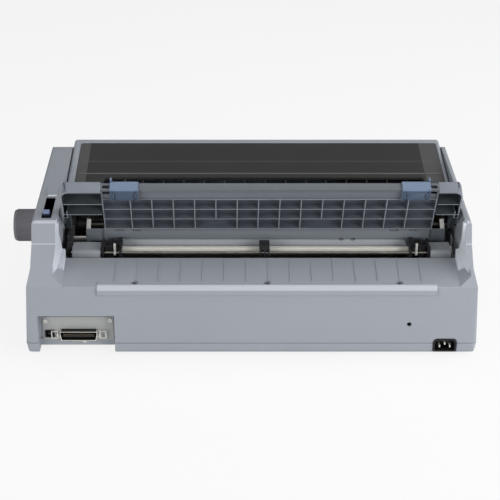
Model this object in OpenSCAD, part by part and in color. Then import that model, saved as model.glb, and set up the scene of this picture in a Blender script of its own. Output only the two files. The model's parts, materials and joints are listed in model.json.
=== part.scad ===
// Wide-carriage dot matrix printer, seen from its connector side: rear wall towards -Y, operator at +Y.
// Every module is written from the body's middle (X), the rear wall's face (Y) and the table (Z);
// place() then moves the whole printer so that the middle of its footprint is the origin.

/* [Body] */
// Width of the body across the top of its rear wall
body_w = 600; // [580:2:640]
// Depth of the body from the rear wall to the front wall
body_d = 399; // [395:1:420]
// Wall thickness of the plastic casings
wall = 2.5; // [2:0.1:3.5]
// Height of the casing's underside above the table
foot_h = 4; // [3:0.5:6]
// Height of the seam between the lower and the upper casing
seam_z = 20; // [18:0.5:24]
// Height of the rear wall's top edge
rear_z = 107; // [104:0.5:109]
// Height of the flat tops of the side pods
pod_z = 175; // [172:0.5:180]
// How much wider the body is on each side at the seam than at the rear wall's top
skirt = 5; // [2:0.5:8]
// How far the pods' outer faces stand in from the rear wall's top corners
pod_inset = 4; // [3:0.5:6]

/* [Rear bay] */
// Middle of the paper path, from the body's middle
paper_x = 20; // [16:1:24]
// Width of the left pod, which holds the gears and the release lever
left_pod = 34; // [32:1:38]
// Width of the right pod
right_pod = 9; // [7:1:12]
// Depth of the sloping deck behind the tractor well
deck_d = 66; // [62:1:68]
// Rise of the deck from the rear wall to the tractor well
deck_rise = 9.5; // [7:0.5:11]
// Width of the rounded paper lip on the rear edge
lip_w = 452; // [440:2:460]
// How far the lip stands out of the rear wall
lip_bulge = 3; // [2:0.5:4]
// Pitch of the ribs on the deck, the guide and the cover's slot
rib_pitch = 29.3; // [28:0.1:30]
// Floor of the tractor well
well_z = 88; // [84:0.5:90]

/* [Paper guide] */
// Lean of the raised guide, from the horizontal
guide_lean = 62; // [60:1:66]
// Distance of the guide's pivot from the rear wall
guide_y = 120; // [119:0.5:122]
// Height of the guide's pivot
guide_z = 142; // [141:0.5:144]
// Height of one row of cells in the guide
row_h = 22; // [20:0.5:23]
// Depth of the cells behind the guide's sheet
cell_d = 10; // [8:0.5:10]
// Thickness of the ribs
rib_t = 1.5; // [1.2:0.1:2]
// How far the ears beside the guide stand out behind its ribs
ear_proud = 4; // [3:0.5:5]
// Width of an edge guide
edge_w = 38; // [32:1:42]

/* [Tractor] */
// Width across the flats of the square drive shaft
drive_w = 6; // [5:0.5:6.5]
// Diameter of the round guide rod
rod_d = 4; // [3:0.5:5]
// Distance of the guide rod from the rear wall
rod_y = 82; // [80:0.5:83]
// Height of the guide rod
rod_z = 116; // [114:0.5:117]
// Width of one sprocket unit
sprocket_w = 28; // [26:0.5:30]
// Radius of the pin wheels
pin_wheel_r = 12.5; // [12:0.25:13]
// Pins on each pin wheel
pin_count = 6; // [5:1:8]

/* [Platen and gears] */
// Distance of the platen's axis from the rear wall
platen_y = 165; // [164:0.5:168]
// Height of the platen's axis
platen_z = 118; // [116:0.5:120]
// Radius of the rubber platen
platen_r = 17.5; // [16:0.5:18]
// Room between each end of the rubber platen and its side frame
platen_gap = 30; // [25:1:40]
// Module of the gear teeth
gear_m = 1; // [1:0.01:1.02]
// Slope of the gear train down to the tractor
train_angle = 4; // [3:0.5:5]
// Largest diameter of the feed knob
knob_d = 47; // [42:1:50]
// How far the knob's face stands outside the pods' outer face
knob_reach = 39; // [34:1:44]

/* [Cover] */
// Distance of the cover's rear edge from the rear wall
cover_y = 150; // [148:0.5:152]
// Height of the cover at its rear edge
cover_z = 158; // [155:0.5:160]
// How far the cover's crest lies behind the front wall
crest_back = 60; // [57:1:65]
// Height of the cover's crest
crest_z = 178; // [176:0.5:182]
// Running gap between the cover and the casing
cover_gap = 1; // [0.6:0.1:1.4]
// Width of the paper slot in the cover, front to back
slot_d = 21; // [16:1:24]

/* [Carriage] */
// Diameter of the carriage shaft
shaft_d = 12; // [10:0.5:13]
// Distance of the carriage shaft from the rear wall
shaft_y = 222; // [220:0.5:225]
// Height of the carriage shaft
shaft_z = 96; // [94:0.5:98]
// Distance of the parked carriage's middle from the right side frame
carriage_park = 80; // [75:1:90]

/* [Connectors] */
// Width of the connector recess in the rear wall
recess_w = 103; // [100:1:106]
// Distance of the connector recess from the body's left corner
recess_in = 12; // [11:0.5:16]
// Height of the top of the connector recess
recess_z = 62; // [60:0.5:66]
// Depth of the connector recess
recess_d = 15; // [12:0.5:18]

/* [Controls] */
// Number of push buttons
button_count = 6; // [4:1:6]
// Width of one push button
button_w = 13; // [10:0.5:14]
// Travel of a push button
button_travel = 1; // [0.6:0.1:1.2]

/* [Hidden] */
$fn = 48;

// Finishes
light_grey = "#a9abb0";
mid_grey = "#8d9199";
guide_grey = "#6f757d";
dark_grey = "#55555a";
black = "#202124";
blue = "#7f9fc4";
steel = "#b9b8b2";
cream = "#d8d2bd";

// Fits
slip = 0.3;      // gap between parts that slide or swing past each other
run = 0.05;      // radial clearance of a running fit

// Gear train
teeth_platen = 40;
teeth_idler = 36;
teeth_tractor = 22;
teeth_pinion = 18;
gear_w = 7;
pinion_angle = -50;
platen_shaft_d = 10;

// Worked-out places
pod_hw = body_w / 2 - pod_inset;
skirt_hw = body_w / 2 + skirt;
bay_left = -pod_hw + left_pod;
bay_right = pod_hw - right_pod;
crest_y = body_d - crest_back;
recess_x = -body_w / 2 + recess_in;
deck_angle = atan(deck_rise / deck_d);
deck_z = rear_z + deck_rise;
well_end = guide_y - 2;
drive_y = platen_y - (teeth_platen + 2 * teeth_idler + teeth_tractor) * gear_m / 2 * cos(train_angle);
drive_z = platen_z - (teeth_platen + 2 * teeth_idler + teeth_tractor) * gear_m / 2 * sin(train_angle);
idler_y = platen_y - (teeth_platen + teeth_idler) * gear_m / 2 * cos(train_angle);
idler_z = platen_z - (teeth_platen + teeth_idler) * gear_m / 2 * sin(train_angle);
frame_half = (bay_right - bay_left) / 2 - 24.5; // from the paper path's middle to a side frame
platen_l = 2 * (frame_half - platen_gap);
frame_t = 1.6;
frame_left = paper_x - frame_half;
frame_right = paper_x + frame_half;
carriage_x = frame_right - carriage_park;
gear_x = frame_left - 24;    // left side of the gear train
floor_z = foot_h + wall;     // inside of the lower casing's floor
pan_z = floor_z + 4;         // underside of the chassis pan
pan_t = 1.5;
cover_slope = atan((crest_z - cover_z) / (crest_y - cover_y));
cover_left = bay_left - 2;
cover_right = bay_right + 1;
cover_t = wall;
hinge_y = cover_y + 3.5;
hinge_z = cover_z - 5;
hinge_back = 3.7;            // room behind the cover for its swing
pin_r = 3;
apron_y = crest_y + 34;      // lower edge of the cover's front
apron_z = crest_z - 50;
knob_end = -pod_hw - knob_reach;
overall_x = (knob_end + skirt_hw) / 2;
switch_reach = 3.5;          // how far the power switch stands out of the front
overall_y = (body_d + switch_reach - lip_bulge) / 2;

// ---------- helpers ----------

module place() translate([-overall_x, -overall_y, 0]) children();

// Extrudes a Y-Z outline along X, from x0 to x1.
module along_x(x0, x1) translate([x0, 0, 0]) rotate([90, 0, 90]) linear_extrude(x1 - x0) children();

// Extrudes an X-Z outline along Y, from y0 to y1.
module along_y(y0, y1) translate([0, y1, 0]) rotate([90, 0, 0]) linear_extrude(y1 - y0) children();

module rod_x(x0, x1, y, z, d) translate([x0, y, z]) rotate([0, 90, 0]) cylinder(d = d, h = x1 - x0);

module block(low, high) translate(low) cube(high - low);

function unit(v) = v / norm(v);

// Moves every edge of a counter-clockwise outline inwards by d.
function inset(p, d) = [for (i = [0:len(p) - 1])
  let (a = p[(i + len(p) - 1) % len(p)], b = p[i], c = p[(i + 1) % len(p)],
       u = unit(b - a), v = unit(c - b), m = [-u[1], u[0]], n = [-v[1], v[0]])
  b + d * (m + n) / (1 + m * n)];

// Replaces each corner of an outline by an arc of its radius; steps is the number of chords per arc.
function rounded(p, radii, steps = 5) = [for (i = [0:len(p) - 1])
  let (b = p[i], u = unit(p[(i + len(p) - 1) % len(p)] - b), v = unit(p[(i + 1) % len(p)] - b),
       half = acos(max(-1, min(1, u * v))) / 2, r = radii[i], far = r / sin(half),
       mid = b + unit(u + v) * far, start = b + u * (r / tan(half)) - mid,
       side = (u[0] * v[1] - u[1] * v[0]) > 0 ? -1 : 1, turn = 180 - 2 * half)
  each (r == 0 ? [b] : [for (k = [0:steps]) let (a = side * turn * k / steps)
    mid + [start[0] * cos(a) - start[1] * sin(a), start[0] * sin(a) + start[1] * cos(a)]])];

function rectangle(x0, y0, x1, y1) = [[x0, y0], [x1, y0], [x1, y1], [x0, y1]];

// Outline of a bar with four equal round corners.
function round_bar(x0, y0, x1, y1, r, steps = 4) = rounded(rectangle(x0, y0, x1, y1), [r, r, r, r], steps);

// Spur gear outline with straight-sided involute stand-in flanks and backlash.
function gear_outline(teeth, m) = let (rp = teeth * m / 2, base = rp * cos(20), root = rp - 1.2 * m,
    backlash = 0.14 * m, flank = [root, max(base, root + 0.1 * m), rp, rp + 0.9 * m])
  [for (i = [0:teeth - 1], side = [-1, 1], k = [0:3])
    let (r = flank[side < 0 ? k : 3 - k], roll = r > base ? sqrt(pow(r / base, 2) - 1) : 0,
         inv = roll * 180 / PI - atan(roll), inv_p = tan(20) * 180 / PI - 20,
         half = 90 / teeth - backlash / rp * 90 / PI + inv_p - inv,
         a = i * 360 / teeth + side * half)
    r * [cos(a), sin(a)]];

module gear(teeth, x0, w, y, z, bore, phase = 0) translate([x0, y, z]) rotate([0, 90, 0]) difference() {
  rotate(phase) linear_extrude(w) polygon(gear_outline(teeth, gear_m));
  translate([0, 0, -1]) cylinder(d = bore, h = w + 2);
}

// ---------- casing ----------

// Outline of the casing from the side: rear wall, the two slopes behind the pods, pod top, front.
pod_side = [[0, foot_h], [body_d, foot_h], [body_d, rear_z - 9], [apron_y + 1, apron_z - 3],
  [crest_y - 6, pod_z - 6], [crest_y - 28, pod_z], [deck_d - 6, pod_z], [deck_d - 19, pod_z - 28], [0, rear_z]];
pod_side_r = [7, 7, 6, 8, 40, 60, 5, 4, 4];

// Outline of the casing from the rear: skirt, waist and pods.
case_front = [[-skirt_hw + 4, foot_h], [skirt_hw - 4, foot_h], [skirt_hw, seam_z], [body_w / 2, rear_z],
  [pod_hw, rear_z + 17], [pod_hw, pod_z + 0.01], [-pod_hw, pod_z + 0.01], [-pod_hw, rear_z + 17],
  [-body_w / 2, rear_z], [-skirt_hw, seam_z]];
case_front_r = [7, 7, 0, 12, 12, 5, 5, 12, 12, 0];

case_plan = rectangle(-skirt_hw - 1, 0, skirt_hw + 1, body_d);

function shrink(p, radii, d) = rounded(inset(p, d), [for (r = radii) r == 0 ? 0 : max(r - d, 0.5)]);

module housing(d) intersection() {
  along_x(-skirt_hw - 1, skirt_hw + 1) polygon(shrink(pod_side, pod_side_r, d));
  along_y(-1, body_d + 1) polygon(shrink(case_front, case_front_r, d));
  translate([0, 0, foot_h]) linear_extrude(pod_z) polygon(shrink(case_plan, [7, 7, 14, 14], d + (d > 0 ? 1 : 0)));
}

module casing_shell() difference() {
  housing(0);
  housing(wall);
}

// Everything on the far side of the plane through three points, moved back by grow.
module beyond(a, b, c, grow) {
  n = unit(cross(b - a, c - a));
  translate(a - n * grow) rotate([0, acos(n[2]), atan2(n[1], n[0])]) translate([-800, -800, 0]) cube([1600, 1600, 800]);
}

// One side of the bay over the deck: a steep plane in front and a flat one that falls to the rear corner.
module bay_side(x, side, grow) {
  top = [x - side * 1, deck_d, pod_z];
  low = [x + side * 7, deck_d, deck_z];
  tail = [x - side * 5.5, 10, rear_z + 10];
  tip = [x + side * 10.5, 10, deck_at(10)];
  intersection() {
    if (side > 0) beyond(top, tail, low, grow); else beyond(top, low, tail, grow);
    if (side > 0) beyond(low, tail, tip, grow); else beyond(low, tip, tail, grow);
    block([-400, -20, 60], [400, deck_d + grow, pod_z + 40]);
  }
}

// The hollow between the pods; grow makes it larger on every side, for its lining.
module bay(grow = 0) {
  // over the deck
  intersection() {
    translate([0, 0, rear_z]) rotate([deck_angle, 0, 0]) block([-400, -30, -grow], [400, deck_d + 40, 130]);
    bay_side(bay_left, 1, grow);
    bay_side(bay_right, -1, grow);
  }
  // tractor well
  block([bay_left - grow, deck_d - grow, well_z - grow], [bay_right + grow, cover_y + 1, pod_z + 20]);
  // under the cover
  block([cover_left - cover_gap - grow, cover_y - hinge_back - grow, well_z + 12],
    [cover_right + cover_gap + grow, apron_y, pod_z + 20]);
}

module bay_lining() difference() {
  intersection() {
    housing(0);
    bay(wall);
  }
  bay();
  // the mechanism comes up through the floor in front of the tractor well
  block([bay_left, well_end, 0], [bay_right, apron_y + 1, well_z + 12.1]);
  block([cover_left, cover_y, 0], [cover_right, apron_y + 1, well_z + 12.1]);
}

// The recess for the connectors, open at the rear and below.
module recess_box(grow = 0) {
  block([recess_x - grow, -10, 0], [recess_x + recess_w + grow, recess_d + grow, recess_z + grow]);
  block([recess_x - grow, -10, 0], [recess_x + recess_w + grow, recess_d + 24 + grow, board_z - wall + grow]);
}

module recess_walls() difference() {
  intersection() {
    housing(0);
    recess_box(wall);
  }
  recess_box();
  // opening behind the interface plate
  block([recess_x + 7, recess_d - 1, seam_z], [recess_x + recess_w - 18, recess_d + wall + 1, 36.5]);
}

lip_low = paper_x - lip_w / 2;
lip_high = paper_x + lip_w / 2;
function deck_at(y) = rear_z + y * tan(deck_angle);

// Outline of the rounded lip over the rear edge of the deck.
lip_side = [[0.2, rear_z - 14], [12, rear_z - 14], [14, deck_at(14)], [9, deck_at(9) + 0.8],
  [-lip_bulge, rear_z + 1.5], [-lip_bulge, rear_z - 11.5]];
module lip() along_x(lip_low, lip_high) polygon(rounded(lip_side, [0, 0, 0, 0, 6, 1.2]));

// Fine ribs over the lip and along the deck.
module deck_ribs() for (i = [-7:7]) {
  x = paper_x + 2 + i * rib_pitch;
  if (x > lip_low && x < lip_high) {
    along_x(x - 0.6, x + 0.6) polygon([[4, deck_at(4) - 1], [deck_d - 4, deck_at(deck_d - 4) - 1],
      [deck_d - 4, deck_at(deck_d - 4) + 0.1], [deck_d - 8, deck_at(deck_d - 8) + 0.5], [10, deck_at(10) + 0.9]]);
  }
}

screw_pitch = 176.5;
screw_y = 9;
module screw_wells(d, z0) for (i = [-1:1]) translate([paper_x + i * screw_pitch, screw_y, z0])
  cylinder(d = d, h = rear_z + 30 - z0);

lever_slot = [[-body_w / 2 + 16, -body_w / 2 + 29], [70, 137]];
vent_pitch = 9;

module upper_case() color(light_grey) difference() {
  union() {
    difference() {
      casing_shell();
      bay();
      recess_box();
      block([-skirt_hw - 2, -10, 0], [skirt_hw + 2, body_d + 10, seam_z + 0.8]);
      front_opening();
      power_mouth();
    }
    difference() {
      bay_lining();
      block([-skirt_hw - 2, -10, 0], [skirt_hw + 2, body_d + 10, seam_z]);
    }
    difference() {
      recess_walls();
      block([-skirt_hw - 2, -10, 0], [skirt_hw + 2, body_d + 10, seam_z + 0.8]);
    }
    intersection() {
      union() {
        lip();
        deck_ribs();
      }
      block([-pod_hw, -10, 0], [pod_hw, deck_d, pod_z]);
    }
    // screw wells under the deck
    intersection() {
      screw_wells(15, rear_z - 22);
      block([-pod_hw, 1, 0], [pod_hw, deck_d, rear_z]);
    }
    // raised pad in front of the release lever's slot
    translate([0, 0, pod_z - 1]) linear_extrude(2.4) polygon(round_bar(lever_slot[0][0] - 1, 143, lever_slot[0][1] + 1, 168, 2));
    flap_bosses();
    switch_bezel();
    release_bearings();
    // bosses around the guide's pivots
    rod_x(bay_left - wall, bay_left + 3, guide_y, guide_z, 15);
    rod_x(bay_right - 1.2, bay_right + wall, guide_y, guide_z, 15);
  }
  screw_wells(10.5, rear_z - 12);
  screw_wells(3.6, rear_z - 30);
  plate_screw_bores();
  // pivots of the paper guide and of the cover
  rod_x(bay_left - wall - 1, bay_left + 4, guide_y, guide_z, 2 * (pin_r + run));
  rod_x(bay_right - 4, bay_right + wall + 1, guide_y, guide_z, 2 * (pin_r + run));
  rod_x(cover_left - cover_gap - wall - 1, cover_left + 1, hinge_y, hinge_z, 2 * (pin_r + run));
  rod_x(cover_right - 1, cover_right + cover_gap + wall + 1, hinge_y, hinge_z, 2 * (pin_r + run));
  // knob shaft through the left pod
  rod_x(-pod_hw - 5, bay_left + 5, platen_y, platen_z, 15);
  // slot of the release lever
  block([lever_slot[0][0], lever_slot[1][0], pod_z - 10], [lever_slot[0][1], lever_slot[1][1], pod_z + 10]);
  // hole low in the rear wall
  translate([body_w / 2 - 88, -1, 49.5]) rotate([-90, 0, 0]) cylinder(d = 6.4, h = wall + 2);
  // mouth for the power inlet
  inlet_body(slip, -1, 20);
  control_mouths();
  // air vents in the right pod's side
  for (i = [0:9]) block([skirt_hw - 12, 150 + i * vent_pitch, 40], [skirt_hw + 5, 154 + i * vent_pitch, 80]);
}

module lower_case() color(light_grey) difference() {
  union() {
    intersection() {
      difference() {
        casing_shell();
        recess_box();
      }
      block([-skirt_hw - 2, -10, 0], [skirt_hw + 2, body_d + 10, seam_z]);
    }
    intersection() {
      recess_walls();
      block([-skirt_hw - 2, -10, 0], [skirt_hw + 2, body_d + 10, seam_z]);
    }
    // tongue that locates the upper casing
    intersection() {
      difference() {
        housing(wall / 2);
        housing(wall);
      }
      block([-skirt_hw, -10, seam_z - 3], [skirt_hw, body_d + 10, seam_z + 0.8]);
      difference() {
        block([-skirt_hw, -10, 0], [skirt_hw, body_d + 10, seam_z + 5]);
        recess_box(wall + 1);
      }
    }
    // posts under the chassis pan, the circuit board and the feet
    for (p = pan_posts) translate([p[0], p[1], foot_h + 0.5]) cylinder(d = 12, h = pan_z - foot_h - 0.5);
    for (p = board_posts) if (p[1] > recess_d + 30 || p[0] > recess_x + recess_w + 8) translate([p[0], p[1], foot_h + 0.5]) cylinder(d = 8, h = board_z - foot_h - 0.5);
  }
  for (p = foot_places) translate([p[0], p[1], -1]) cylinder(d = 18 + 2 * run, h = 1 + foot_h + 1);
  inlet_body(slip, -1, 20);
  plate_screw_bores();
  for (i = [0:11]) block([-60 + i * vent_pitch, 300, -1], [-56 + i * vent_pitch, 350, foot_h + wall + 1]);
}

pan_posts = [for (x = [frame_left + 30, paper_x, frame_right - 30], y = [well_end + 22, 280]) [x, y]];
board_z = floor_z + 5;
board_posts = [for (x = [recess_x + 24, recess_x + recess_w + 60], y = [recess_d + 14, 96]) [x, y]];
foot_x = body_w / 2 - 35;
foot_places = [[-foot_x, 60], [foot_x, 34], [-foot_x, body_d - 34], [foot_x, body_d - 34], [0, body_d / 2]];

module rubber_feet() color(black) for (p = foot_places) translate([p[0], p[1], 0]) {
  cylinder(d1 = 16, d2 = 18, h = 1);
  translate([0, 0, 1]) cylinder(d = 18, h = foot_h);
}

module case_screws() color(dark_grey) for (i = [-1:1]) translate([paper_x + i * screw_pitch, screw_y, 0])
  difference() {
    union() {
      translate([0, 0, rear_z - 12]) cylinder(d = 7, h = 2.6);
      translate([0, 0, rear_z - 21]) cylinder(d = 3.2, h = 9.5);
    }
    translate([-2.6, -0.5, rear_z - 10.6]) cube([5.2, 1, 3]);
    translate([-0.5, -2.6, rear_z - 10.6]) cube([1, 5.2, 3]);
  }

// ---------- front: paper flap, panel, switch ----------

flap_half = body_w / 2 - 86;
flap_low = 34;
flap_high = 86;
flap_pin_y = body_d - 6;
flap_pin_z = flap_low + 5;
flap_pin_r = 2;

module front_opening() block([paper_x - flap_half, body_d - wall - 1, flap_low - 1.4], [paper_x + flap_half, body_d + 1, flap_high]);

module flap_bosses() difference() {
  for (side = [-1, 1]) {
    x = paper_x + side * (flap_half + 2.5);
    rod_x(x - 2.5, x + 2.5, flap_pin_y, flap_pin_z, 10);
    block([x - 2.5, flap_pin_y, flap_pin_z - 5], [x + 2.5, body_d - 1, flap_pin_z + 5]);
  }
  rod_x(paper_x - flap_half - 6, paper_x + flap_half + 6, flap_pin_y, flap_pin_z, 2 * (flap_pin_r + run));
}

module front_cover() color(light_grey) {
  half = flap_half - slip;
  y1 = body_d - 0.2;
  difference() {
    along_y(y1 - wall, y1) polygon(round_bar(paper_x - half, flap_low + slip, paper_x + half, flap_high - slip, 2));
    // bevel that lets the lower edge swing clear of the sill
    along_x(paper_x - flap_half, paper_x + flap_half) polygon([[y1 + 1, flap_pin_z + 1.33], [y1 - 3, flap_low - 1], [y1 + 1, flap_low - 1]]);
    // finger dip along the upper edge
    translate([paper_x, y1 + 12, flap_high + 3]) rotate([0, 90, 0]) cylinder(r = 13, h = 60, center = true);
  }
  // stiffening ribs behind the flap
  for (z = [flap_low + 20, flap_high - 8]) block([paper_x - half + 12, y1 - wall - 1.5, z], [paper_x + half - 12, y1 - wall, z + 1.5]);
  for (side = [-1, 1]) {
    x = paper_x + side * half;
    rod_x(min(x, x - side * 5), max(x, x - side * 5), flap_pin_y, flap_pin_z, 8);
    block([min(x, x - side * 5), flap_pin_y, flap_pin_z - 3], [max(x, x - side * 5), y1 - 1, flap_pin_z + 4]);
    rod_x(min(x - side, x + side * 4), max(x - side, x + side * 4), flap_pin_y, flap_pin_z, 2 * flap_pin_r);
  }
}

slope_angle = atan((apron_z - 3 - rear_z + 9) / (body_d - apron_y - 1));
panel_x = -body_w / 2 + 135;
panel_hw = (button_count * (button_w + 8) + 24) / 2;
panel_hh = 11.5;
panel_t = 1.8;
button_h = 8;

// Puts its children on the sloping front of the casing, with +Z out of it and +Y down it.
module on_slope() translate([panel_x, (apron_y + 1 + body_d) / 2 + 0.8, (apron_z - 3 + rear_z - 9) / 2 - 0.9])
  rotate([-slope_angle, 0, 0]) children();

function button_x(i) = (i - (button_count - 1) / 2) * (button_w + 8) - 6;

module control_mouths() on_slope() translate([0, 0, -wall - 3])
  linear_extrude(wall + 6) polygon(round_bar(-panel_hw + 4, -panel_hh + 2.5, panel_hw - 4, panel_hh - 2.5, 2));

module control_panel() color(mid_grey) on_slope() difference() {
  union() {
    translate([0, 0, 0.1]) linear_extrude(panel_t) polygon(round_bar(-panel_hw, -panel_hh, panel_hw, panel_hh, 3));
    translate([0, 0, -wall - 1]) linear_extrude(wall + 1.2)
      polygon(round_bar(-panel_hw + 4 + slip, -panel_hh + 2.5 + slip, panel_hw - 4 - slip, panel_hh - 2.5 - slip, 2));
  }
  // hollow behind the buttons
  translate([0, 0, -wall - 2]) linear_extrude(wall + 1)
    polygon(round_bar(-panel_hw + 7, -panel_hh + 4.5, panel_hw - 7, panel_hh - 4.5, 1));
  for (i = [0:button_count - 1]) translate([button_x(i), 0, -5])
    linear_extrude(12) polygon(round_bar(-button_w / 2 - slip, -button_h / 2 - slip, button_w / 2 + slip, button_h / 2 + slip, 2));
  // windows of the indicator lamps
  for (i = [0:button_count - 1]) translate([button_x(i), -panel_hh + 4.2, panel_t - 0.6])
    cylinder(d = 2.4, h = 2);
}

module button(i) color(light_grey) if (i < button_count) on_slope() translate([button_x(i), 0, 0]) {
  translate([0, 0, -1.4 - slip]) linear_extrude(panel_t + 2.2 + button_travel + slip)
    polygon(round_bar(-button_w / 2, -button_h / 2, button_w / 2, button_h / 2, 1.8));
  // collar that keeps it behind the panel
  translate([0, 0, -2.3 - slip]) linear_extrude(1.3)
    polygon(round_bar(-button_w / 2 - 1.2, -button_h / 2 - 1.2, button_w / 2 + 1.2, button_h / 2 + 1.2, 1));
}

switch_x = body_w / 2 - 32;
switch_z = 62;
switch_r = 16;

module power_mouth() block([switch_x - 9, body_d - wall - 1, switch_z - 13], [switch_x + 9, body_d + 1, switch_z + 13]);

// Bezel and rocker of the power switch share their pivot.
module switch_bezel() difference() {
  union() {
    along_y(body_d - wall, body_d + 1.2) polygon(round_bar(switch_x - 10.5, switch_z - 14.5, switch_x + 10.5, switch_z + 14.5, 2));
    along_y(body_d - 12, body_d) polygon(rectangle(switch_x - 9 + 0.1, switch_z - 13 + 0.1, switch_x + 9 - 0.1, switch_z + 13 - 0.1));
  }
  along_y(body_d - 13, body_d + 2) polygon(rectangle(switch_x - 7, switch_z - 11.5, switch_x + 7, switch_z + 11.5));
  rod_x(switch_x - 9.5, switch_x + 9.5, body_d - 6, switch_z, 2 * (1.5 + run));
}

module power_switch() color(black) translate([0, body_d - 6, switch_z]) rotate([8, 0, 0]) {
  along_x(switch_x - 6.7, switch_x + 6.7) polygon(rounded([[-2.5, -9], [4, -10.4], [8.4, -10], [6.4, 0], [8.4, 10], [4, 10.4], [-2.5, 9]],
    [1, 1, 0.8, 6, 0.8, 1, 1]));
  rod_x(switch_x - 8.6, switch_x + 8.6, 0, 0, 3);
}

// ---------- connectors ----------

plate_y = recess_d;          // the plate lies against the recess's back wall
plate_t = 1.2;
port_x = recess_x + recess_w / 2 + 2.1;
port_z = 27.5;
port_hw = 26;
port_hh = 7;
usb_x = recess_x + 13.7;
usb_z = 27.5;
screw_places = [[recess_x + 8.6, 47.5], [recess_x + recess_w - 6.6, 48.5], [port_x + 7.4, 17]];
module plate_screw_bores() for (p = screw_places) translate([p[0], plate_y - 1, p[1]]) rotate([-90, 0, 0]) cylinder(d = 3 + 2 * run, h = wall + 2);

// Outline of a D-shaped shell, wider at the top.
function dee(hw, hh, r = 2) = rounded([[-hw + 2.2, -hh], [hw - 2.2, -hh], [hw, hh], [-hw, hh]], [r, r, r, r]);

module interface_plate() color(steel) difference() {
  along_y(plate_y - plate_t, plate_y) union() {
    polygon(round_bar(recess_x + 4.5, 17.5, recess_x + recess_w - 2, 53.5, 1.5));
    polygon(rectangle(port_x - 12.1, 13.5, port_x + 12.1, 19));
  }
  along_y(0, plate_y + 1) translate([port_x, port_z]) polygon(dee(port_hw + slip, port_hh + slip));
  along_y(0, plate_y + 1) polygon(rectangle(usb_x - 6 - slip, usb_z - 5.5 - slip, usb_x + 6 + slip, usb_z + 5.5 + slip));
  for (p = screw_places) translate([p[0], 0, p[1]]) rotate([-90, 0, 0]) cylinder(d = 3.4, h = plate_y + 1);
}

module plate_screws() color(steel) for (p = screw_places) translate([p[0], plate_y - plate_t, p[1]]) rotate([90, 0, 0]) difference() {
  union() {
    cylinder(d = 6, h = 1.9);
    translate([0, 0, -plate_t - wall]) cylinder(d = 3, h = plate_t + wall + 0.1);
  }
  translate([-2.2, -0.4, 1]) cube([4.4, 0.8, 2]);
  translate([-0.4, -2.2, 1]) cube([0.8, 4.4, 2]);
}

bail_pins = [[port_x - port_hw - 2.4, plate_y - 4.5], [port_x + port_hw + 2.4, plate_y - 4.5]];
bail_hh = 5;
bail_l = 8.5;
wire_r = 0.8;

module parallel_port() color(steel) {
  difference() {
    union() {
      // shell standing out of the plate
      translate([port_x, 0, port_z]) along_y(plate_y - 9, plate_y + 8) polygon(dee(port_hw, port_hh));
      // ears that carry the wire bails
      for (p = bail_pins) translate([p[0], p[1], port_z]) {
        cylinder(d = 3.6, h = 5, center = true);
        block([-1.8, 0, -2.5], [1.8, plate_y - plate_t - p[1] - 0.02, 2.5]);
      }
      // flange in front of the plate
      along_y(plate_y - plate_t - 1, plate_y - plate_t) translate([port_x, port_z])
        polygon(round_bar(-port_hw - 4.2, -port_hh + 1, port_hw + 4.2, port_hh - 1, 1));
      // foot on the circuit board
      block([port_x - port_hw + 3, recess_d + wall + slip, board_z + 1.6], [port_x + port_hw - 3, recess_d + 18, port_z]);
    }
    translate([port_x, 0, port_z]) along_y(plate_y - 10, plate_y + 5) polygon(dee(port_hw - 1, port_hh - 1, 1.4));
    for (p = bail_pins) translate([p[0], p[1], port_z]) cylinder(r = wire_r + run, h = 20, center = true);
  }
  // contact tongue with two rows of contacts
  block([port_x - port_hw + 4.5, plate_y - 7.5, port_z - 2], [port_x + port_hw - 4.5, plate_y + 6, port_z + 2]);
  for (i = [0:17]) block([port_x - 20.5 + i * 2.4 - 0.45, plate_y - 7, port_z - 2.35], [port_x - 20.5 + i * 2.4 + 0.45, plate_y + 5.5, port_z + 2.35]);
}

// Wire loop that swings about its upright pin over the plug's shoulder.
module bail(p, side) color(steel) translate([p[0], p[1], port_z]) {
  for (s = [-1, 1]) {
    translate([0, 0, s * bail_hh]) rotate([0, side * 90, 0]) cylinder(r = wire_r, h = bail_l);
    translate([0, 0, s * bail_hh]) sphere(r = wire_r);
    translate([side * bail_l, 0, s * bail_hh]) sphere(r = wire_r);
  }
  translate([0, 0, -bail_hh]) cylinder(r = wire_r, h = 2 * bail_hh);
  translate([side * bail_l, 0, -bail_hh]) cylinder(r = wire_r, h = 2 * bail_hh);
}
module bail_left() bail(bail_pins[0], -1);
module bail_right() bail(bail_pins[1], 1);

module usb_socket() color(steel) {
  difference() {
    along_y(plate_y - 2.5, plate_y + 14) polygon(rounded(rectangle(usb_x - 6, usb_z - 5.5, usb_x + 6, usb_z + 5.5), [0, 0, 1.6, 1.6]));
    along_y(plate_y - 3, plate_y + 12) polygon(rounded(rectangle(usb_x - 4.9, usb_z - 4.4, usb_x + 4.9, usb_z + 4.4), [0, 0, 1.2, 1.2]));
  }
  block([usb_x - 2.9, plate_y - 1.5, usb_z - 1.6], [usb_x + 2.9, plate_y + 13, usb_z + 1.6]);
  block([usb_x - 5, recess_d + wall + slip, board_z + 1.6], [usb_x + 5, plate_y + 14, usb_z - 5]);
}

inlet_x = body_w / 2 - 38;
inlet_z = 17.2;
inlet_hw = 15.9;
inlet_hh = 9.7;
module inlet_body(grow, y0, y1) along_y(y0, y1) translate([inlet_x, inlet_z])
  polygon(rounded(rectangle(-inlet_hw - grow, -inlet_hh - grow, inlet_hw + grow, inlet_hh + grow), [2, 2, 6, 6]));

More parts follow.
